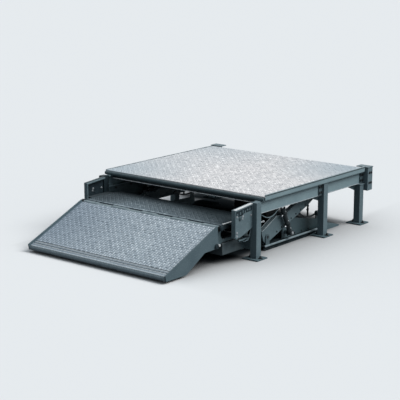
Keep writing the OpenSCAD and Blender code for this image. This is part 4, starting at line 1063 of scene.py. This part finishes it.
# Lift arms
# Painted plate arms turn on pins in brackets on the rails, joined by a torsion tube, and lift the
# deck by the shoes at their ends. A row of bolts runs along each arm and another by its shoe, and
# the top edges of its deep front are light, as wear and as a painted highlight.
ARM_FACE_X = 850
ARM_SHOE = at(0, 1170, 460)
ARM_BOLT_SIZE = 9
LONG_ROW_START, LONG_ROW_PITCH, LONG_ROW_COUNT, LONG_ROW_UP = 160, 85, 7, -36
SHOE_ROW_START, SHOE_ROW_PITCH, SHOE_ROW_COUNT, SHOE_ROW_UP = 720, 50, 4, 18
ARM_EDGE_FACES = (854, 807)
ARM_EDGE_START, ARM_EDGE_END = (-55, 92), (203, 115)
ARM_EDGE_RADIUS = 4
arm_paint = paint(
    "arm_paint", (0.094, 0.138, 0.158), (0.120, 0.172, 0.194),
    size=0.14, rough=(0.36, 0.55), dust=0.12,
)
dress(arm_paint, "lift_arms")
dress(deep_slate, "arm_brackets", "torsion_tube")
dress(black_steel, "arm_pins")
arm_pivot = joint_value("arm_pivot", "pos_m")
arm_along = (ARM_SHOE - arm_pivot).normalized()
arm_up = EAST.cross(arm_along)


def on_arm(x, out, up):
    """Place on a lift arm in millimetres: across, out from its pivot and up from its line."""
    return arm_pivot + (EAST * x + arm_along * out + arm_up * up) / 1000


arm_bolts = bmesh.new()
arm_edges = bmesh.new()
for side in SIDES:
    face_x = side * ARM_FACE_X
    for k in range(LONG_ROW_COUNT):
        spot = on_arm(face_x, LONG_ROW_START + LONG_ROW_PITCH * k, LONG_ROW_UP)
        nut(arm_bolts, spot, (side, 0, 0), ARM_BOLT_SIZE)
    for k in range(SHOE_ROW_COUNT):
        spot = on_arm(face_x, SHOE_ROW_START + SHOE_ROW_PITCH * k, SHOE_ROW_UP)
        nut(arm_bolts, spot, (side, 0, 0), ARM_BOLT_SIZE)
    for depth in ARM_EDGE_FACES:
        edge_ends = [on_arm(side * depth, *end) for end in (ARM_EDGE_START, ARM_EDGE_END)]
        bead(arm_edges, edge_ends, ARM_EDGE_RADIUS, pitch=30, sides=8)
piece(arm_bolts, "arm_bolts", "lift_gear", black_steel)
piece(arm_edges, "arm_edges", "lift_gear", worn_and_highlit_edge)


# Cylinders
# Two welded cylinders, painted black, with chromed rods, turn on pins in tapered base plates on the
# rails. Each barrel has two black clamps, zinc-plated ports and plugs and a cap at its foot. Each
# plate has a row of low bolts, and the taller right one two high bolts as well.
RAM_X = 886.5
CLAMP_OUT = (95, 225)
CLAMP = [(25, 0), (29, 1), (29, 15), (25, 16)]
PORT_SHIFT, PORT_REACH = 8, 26
PORT = [(8, 0), (8, 5), (6, 6), (6, 14), (9, 15), (9, 22), (6, 24)]
PLUG_OUT = (60, 150, 262)
PLUG_REACH = 25
PLUG = [(6, -3), (6, 2), (4, 4)]
FOOT_CAP_REACH = 29
FOOT_CAP = [(15, 0), (15, 3), (9, 4), (9, 8)]
PLATE_BOLT_X = 825
LOW_BOLTS, LOW_BOLT_HEIGHT = (640, 760, 880, 1000), 62
HIGH_BOLTS, HIGH_BOLT_HEIGHT = (560, 700), 205
PLATE_BOLT_SIZE = 10
# The patch at the right base plate darkens it as painted shade under the deck.
gear_paint_shaded = paint(
    "gear_paint_shaded", (0.078, 0.116, 0.134), (0.104, 0.150, 0.170),
    size=0.14, rough=(0.36, 0.55), dust=0.05, fleck=0.2,
    patches=[(at(820, 1140, 90), 0.62, 0.16, (0.022, 0.040, 0.046))],
)
ram_black = surface(
    "ram_black_paint", (0.018, 0.026, 0.030), (0.040, 0.052, 0.058), size=0.05,
    rough=(0.25, 0.42), metal=0.1, grain=0.08, dust=0.1, fleck=0.3,
)
chrome = surface(
    "hard_chrome", (0.62, 0.63, 0.64), (0.74, 0.75, 0.76), size=0.05, rough=(0.08, 0.18), metal=1.0,
)
dress(gear_paint_shaded, "ram_plates")
dress(ram_black, "ram_barrels")
dress(chrome, "ram_rods")
dress(zinc, "ram_pins")
ram_foot = joint_value("barrel_tilt", "pos_m")
ram_along = joint_value("rod_slide", "axis")
ram_across = EAST.cross(ram_along)


def on_ram(x, out, aside):
    """Place on a cylinder in millimetres: across, out from its foot and aside from its line."""
    return ram_foot + (EAST * x + ram_along * out + ram_across * aside) / 1000


ram_clamps = bmesh.new()
ram_ports = bmesh.new()
plate_bolts = bmesh.new()
for side in SIDES:
    outward = (side, 0, 0)
    for out in CLAMP_OUT:
        lathe(ram_clamps, on_ram(side * RAM_X, out, 0), ram_along, CLAMP, sides=24)
        lathe(ram_ports, on_ram(side * RAM_X, out + PORT_SHIFT, PORT_REACH), ram_across, PORT, sides=12)
    for out in PLUG_OUT:
        lathe(ram_ports, on_ram(side * (RAM_X + PLUG_REACH), out, 0), outward, PLUG, sides=10)
    lathe(ram_ports, on_ram(side * (RAM_X + FOOT_CAP_REACH), 0, 0), outward, FOOT_CAP, sides=16)
    for station in LOW_BOLTS:
        nut(plate_bolts, at(side * PLATE_BOLT_X, station, LOW_BOLT_HEIGHT), outward, PLATE_BOLT_SIZE)
for station in HIGH_BOLTS:
    nut(plate_bolts, at(PLATE_BOLT_X, station, HIGH_BOLT_HEIGHT), (1, 0, 0), PLATE_BOLT_SIZE)
piece(ram_clamps, "ram_clamps", "barrels", black_steel)
piece(ram_ports, "ram_ports", "barrels", zinc)
piece(plate_bolts, "rail_bolts", "frame", black_steel)


# Safety props
# Black steel props lie folded beside the base plates and are swung up by hand to hold the raised
# deck. Each has a ribbed grip and a button on it, and a turned knob on its pivot.
PROP_GRIP_X = 806
RIB_START, RIB_END, RIB_HEIGHT, RIB_RADIUS = 990, 1030, 252, 6
BUTTON_STATION, BUTTON_HEIGHT = 1010, 284
BUTTON = [(9, 0), (12, 3), (12, 8), (8, 12)]
PROP_KNOB_X, PROP_KNOB_STATION, PROP_KNOB_HEIGHT = 826, 1162, 188
PROP_KNOB = [(23, 0), (23, 6), (19, 10), (10, 30), (6, 32)]
dress(black_steel, "safety_props")
prop_grips = bmesh.new()
for side in SIDES:
    rib_ends = [at(side * PROP_GRIP_X, station, RIB_HEIGHT) for station in (RIB_START, RIB_END)]
    bead(prop_grips, rib_ends, RIB_RADIUS, pitch=8, sides=12)
    lathe(prop_grips, at(side * PROP_GRIP_X, BUTTON_STATION, BUTTON_HEIGHT), (0, 0, 1), BUTTON, sides=16)
    knob_spot = at(side * PROP_KNOB_X, PROP_KNOB_STATION, PROP_KNOB_HEIGHT)
    lathe(prop_grips, knob_spot, (side, 0, 0), PROP_KNOB, sides=24)
piece(prop_grips, "prop_grips", "frame", black_steel)


# Side guard
# Painted steel sheets that close the left side between the legs, held by two rows of black bolts
# whose heads are on the inner face.
GUARD_BOLT_STATIONS = (60, 290, 520, 750, 970, 1150, 1400, 1620)
GUARD_BOLT_HEIGHTS = (185, 400)
GUARD_BOLT_SIZE = 12
dress(deep_slate, "side_guard")
guard_face = span("side_guard")[1].x
guard_bolts = bmesh.new()
for station in GUARD_BOLT_STATIONS:
    for height in GUARD_BOLT_HEIGHTS:
        nut(guard_bolts, at(guard_face, station, height), (1, 0, 0), GUARD_BOLT_SIZE)
piece(guard_bolts, "guard_bolts", "frame", black_steel)


# Oil pipe
# A bent steel pipe, painted slate grey, behind the right front leg. One union screws into the leg's
# rear face and the other into the side beam's underside.
PIPE_X = 946
PIPE_RADIUS = 5
PIPE_BENDS = (
    (-40, 410), (-8, 410), (20, 405), (47, 393), (90, 368), (133, 353),
    (176, 349), (216, 354), (250, 367), (278, 385), (296, 404), (302, 423),
)
LEG_UNION = [(11, -1), (11, 8), (9, 9), (9, 17), (6, 19)]
BEAM_UNION = [(11, 0), (11, 9), (9, 10), (9, 18), (6, 20)]
oil_pipe = bmesh.new()
pipe_path = [at(PIPE_X, *bend) for bend in PIPE_BENDS]
bead(oil_pipe, pipe_path, PIPE_RADIUS, pitch=0, sides=12)
lathe(oil_pipe, pipe_path[0], (0, 1, 0), LEG_UNION, sides=12)
lathe(oil_pipe, pipe_path[-1], (0, 0, -1), BEAM_UNION, sides=12)
piece(oil_pipe, "oil_pipe", "frame", slate)


# Power unit
# A moulded plastic oil tank stands on the rear floor tie, with a finned cast motor fixed on its top
# that drives the pump.
tank_black = surface(
    "tank_plastic", (0.030, 0.034, 0.038), (0.055, 0.060, 0.064), size=0.08,
    rough=(0.4, 0.6), grain=0.2, grain_size=0.004, dust=0.15,
)
motor_grey = surface(
    "motor_casting", (0.040, 0.052, 0.058), (0.062, 0.077, 0.084), size=0.05,
    rough=(0.45, 0.65), metal=0.1, grain=0.3, dust=0.15,
)
dress(tank_black, "oil_tank")
dress(motor_grey, "pump_motor")
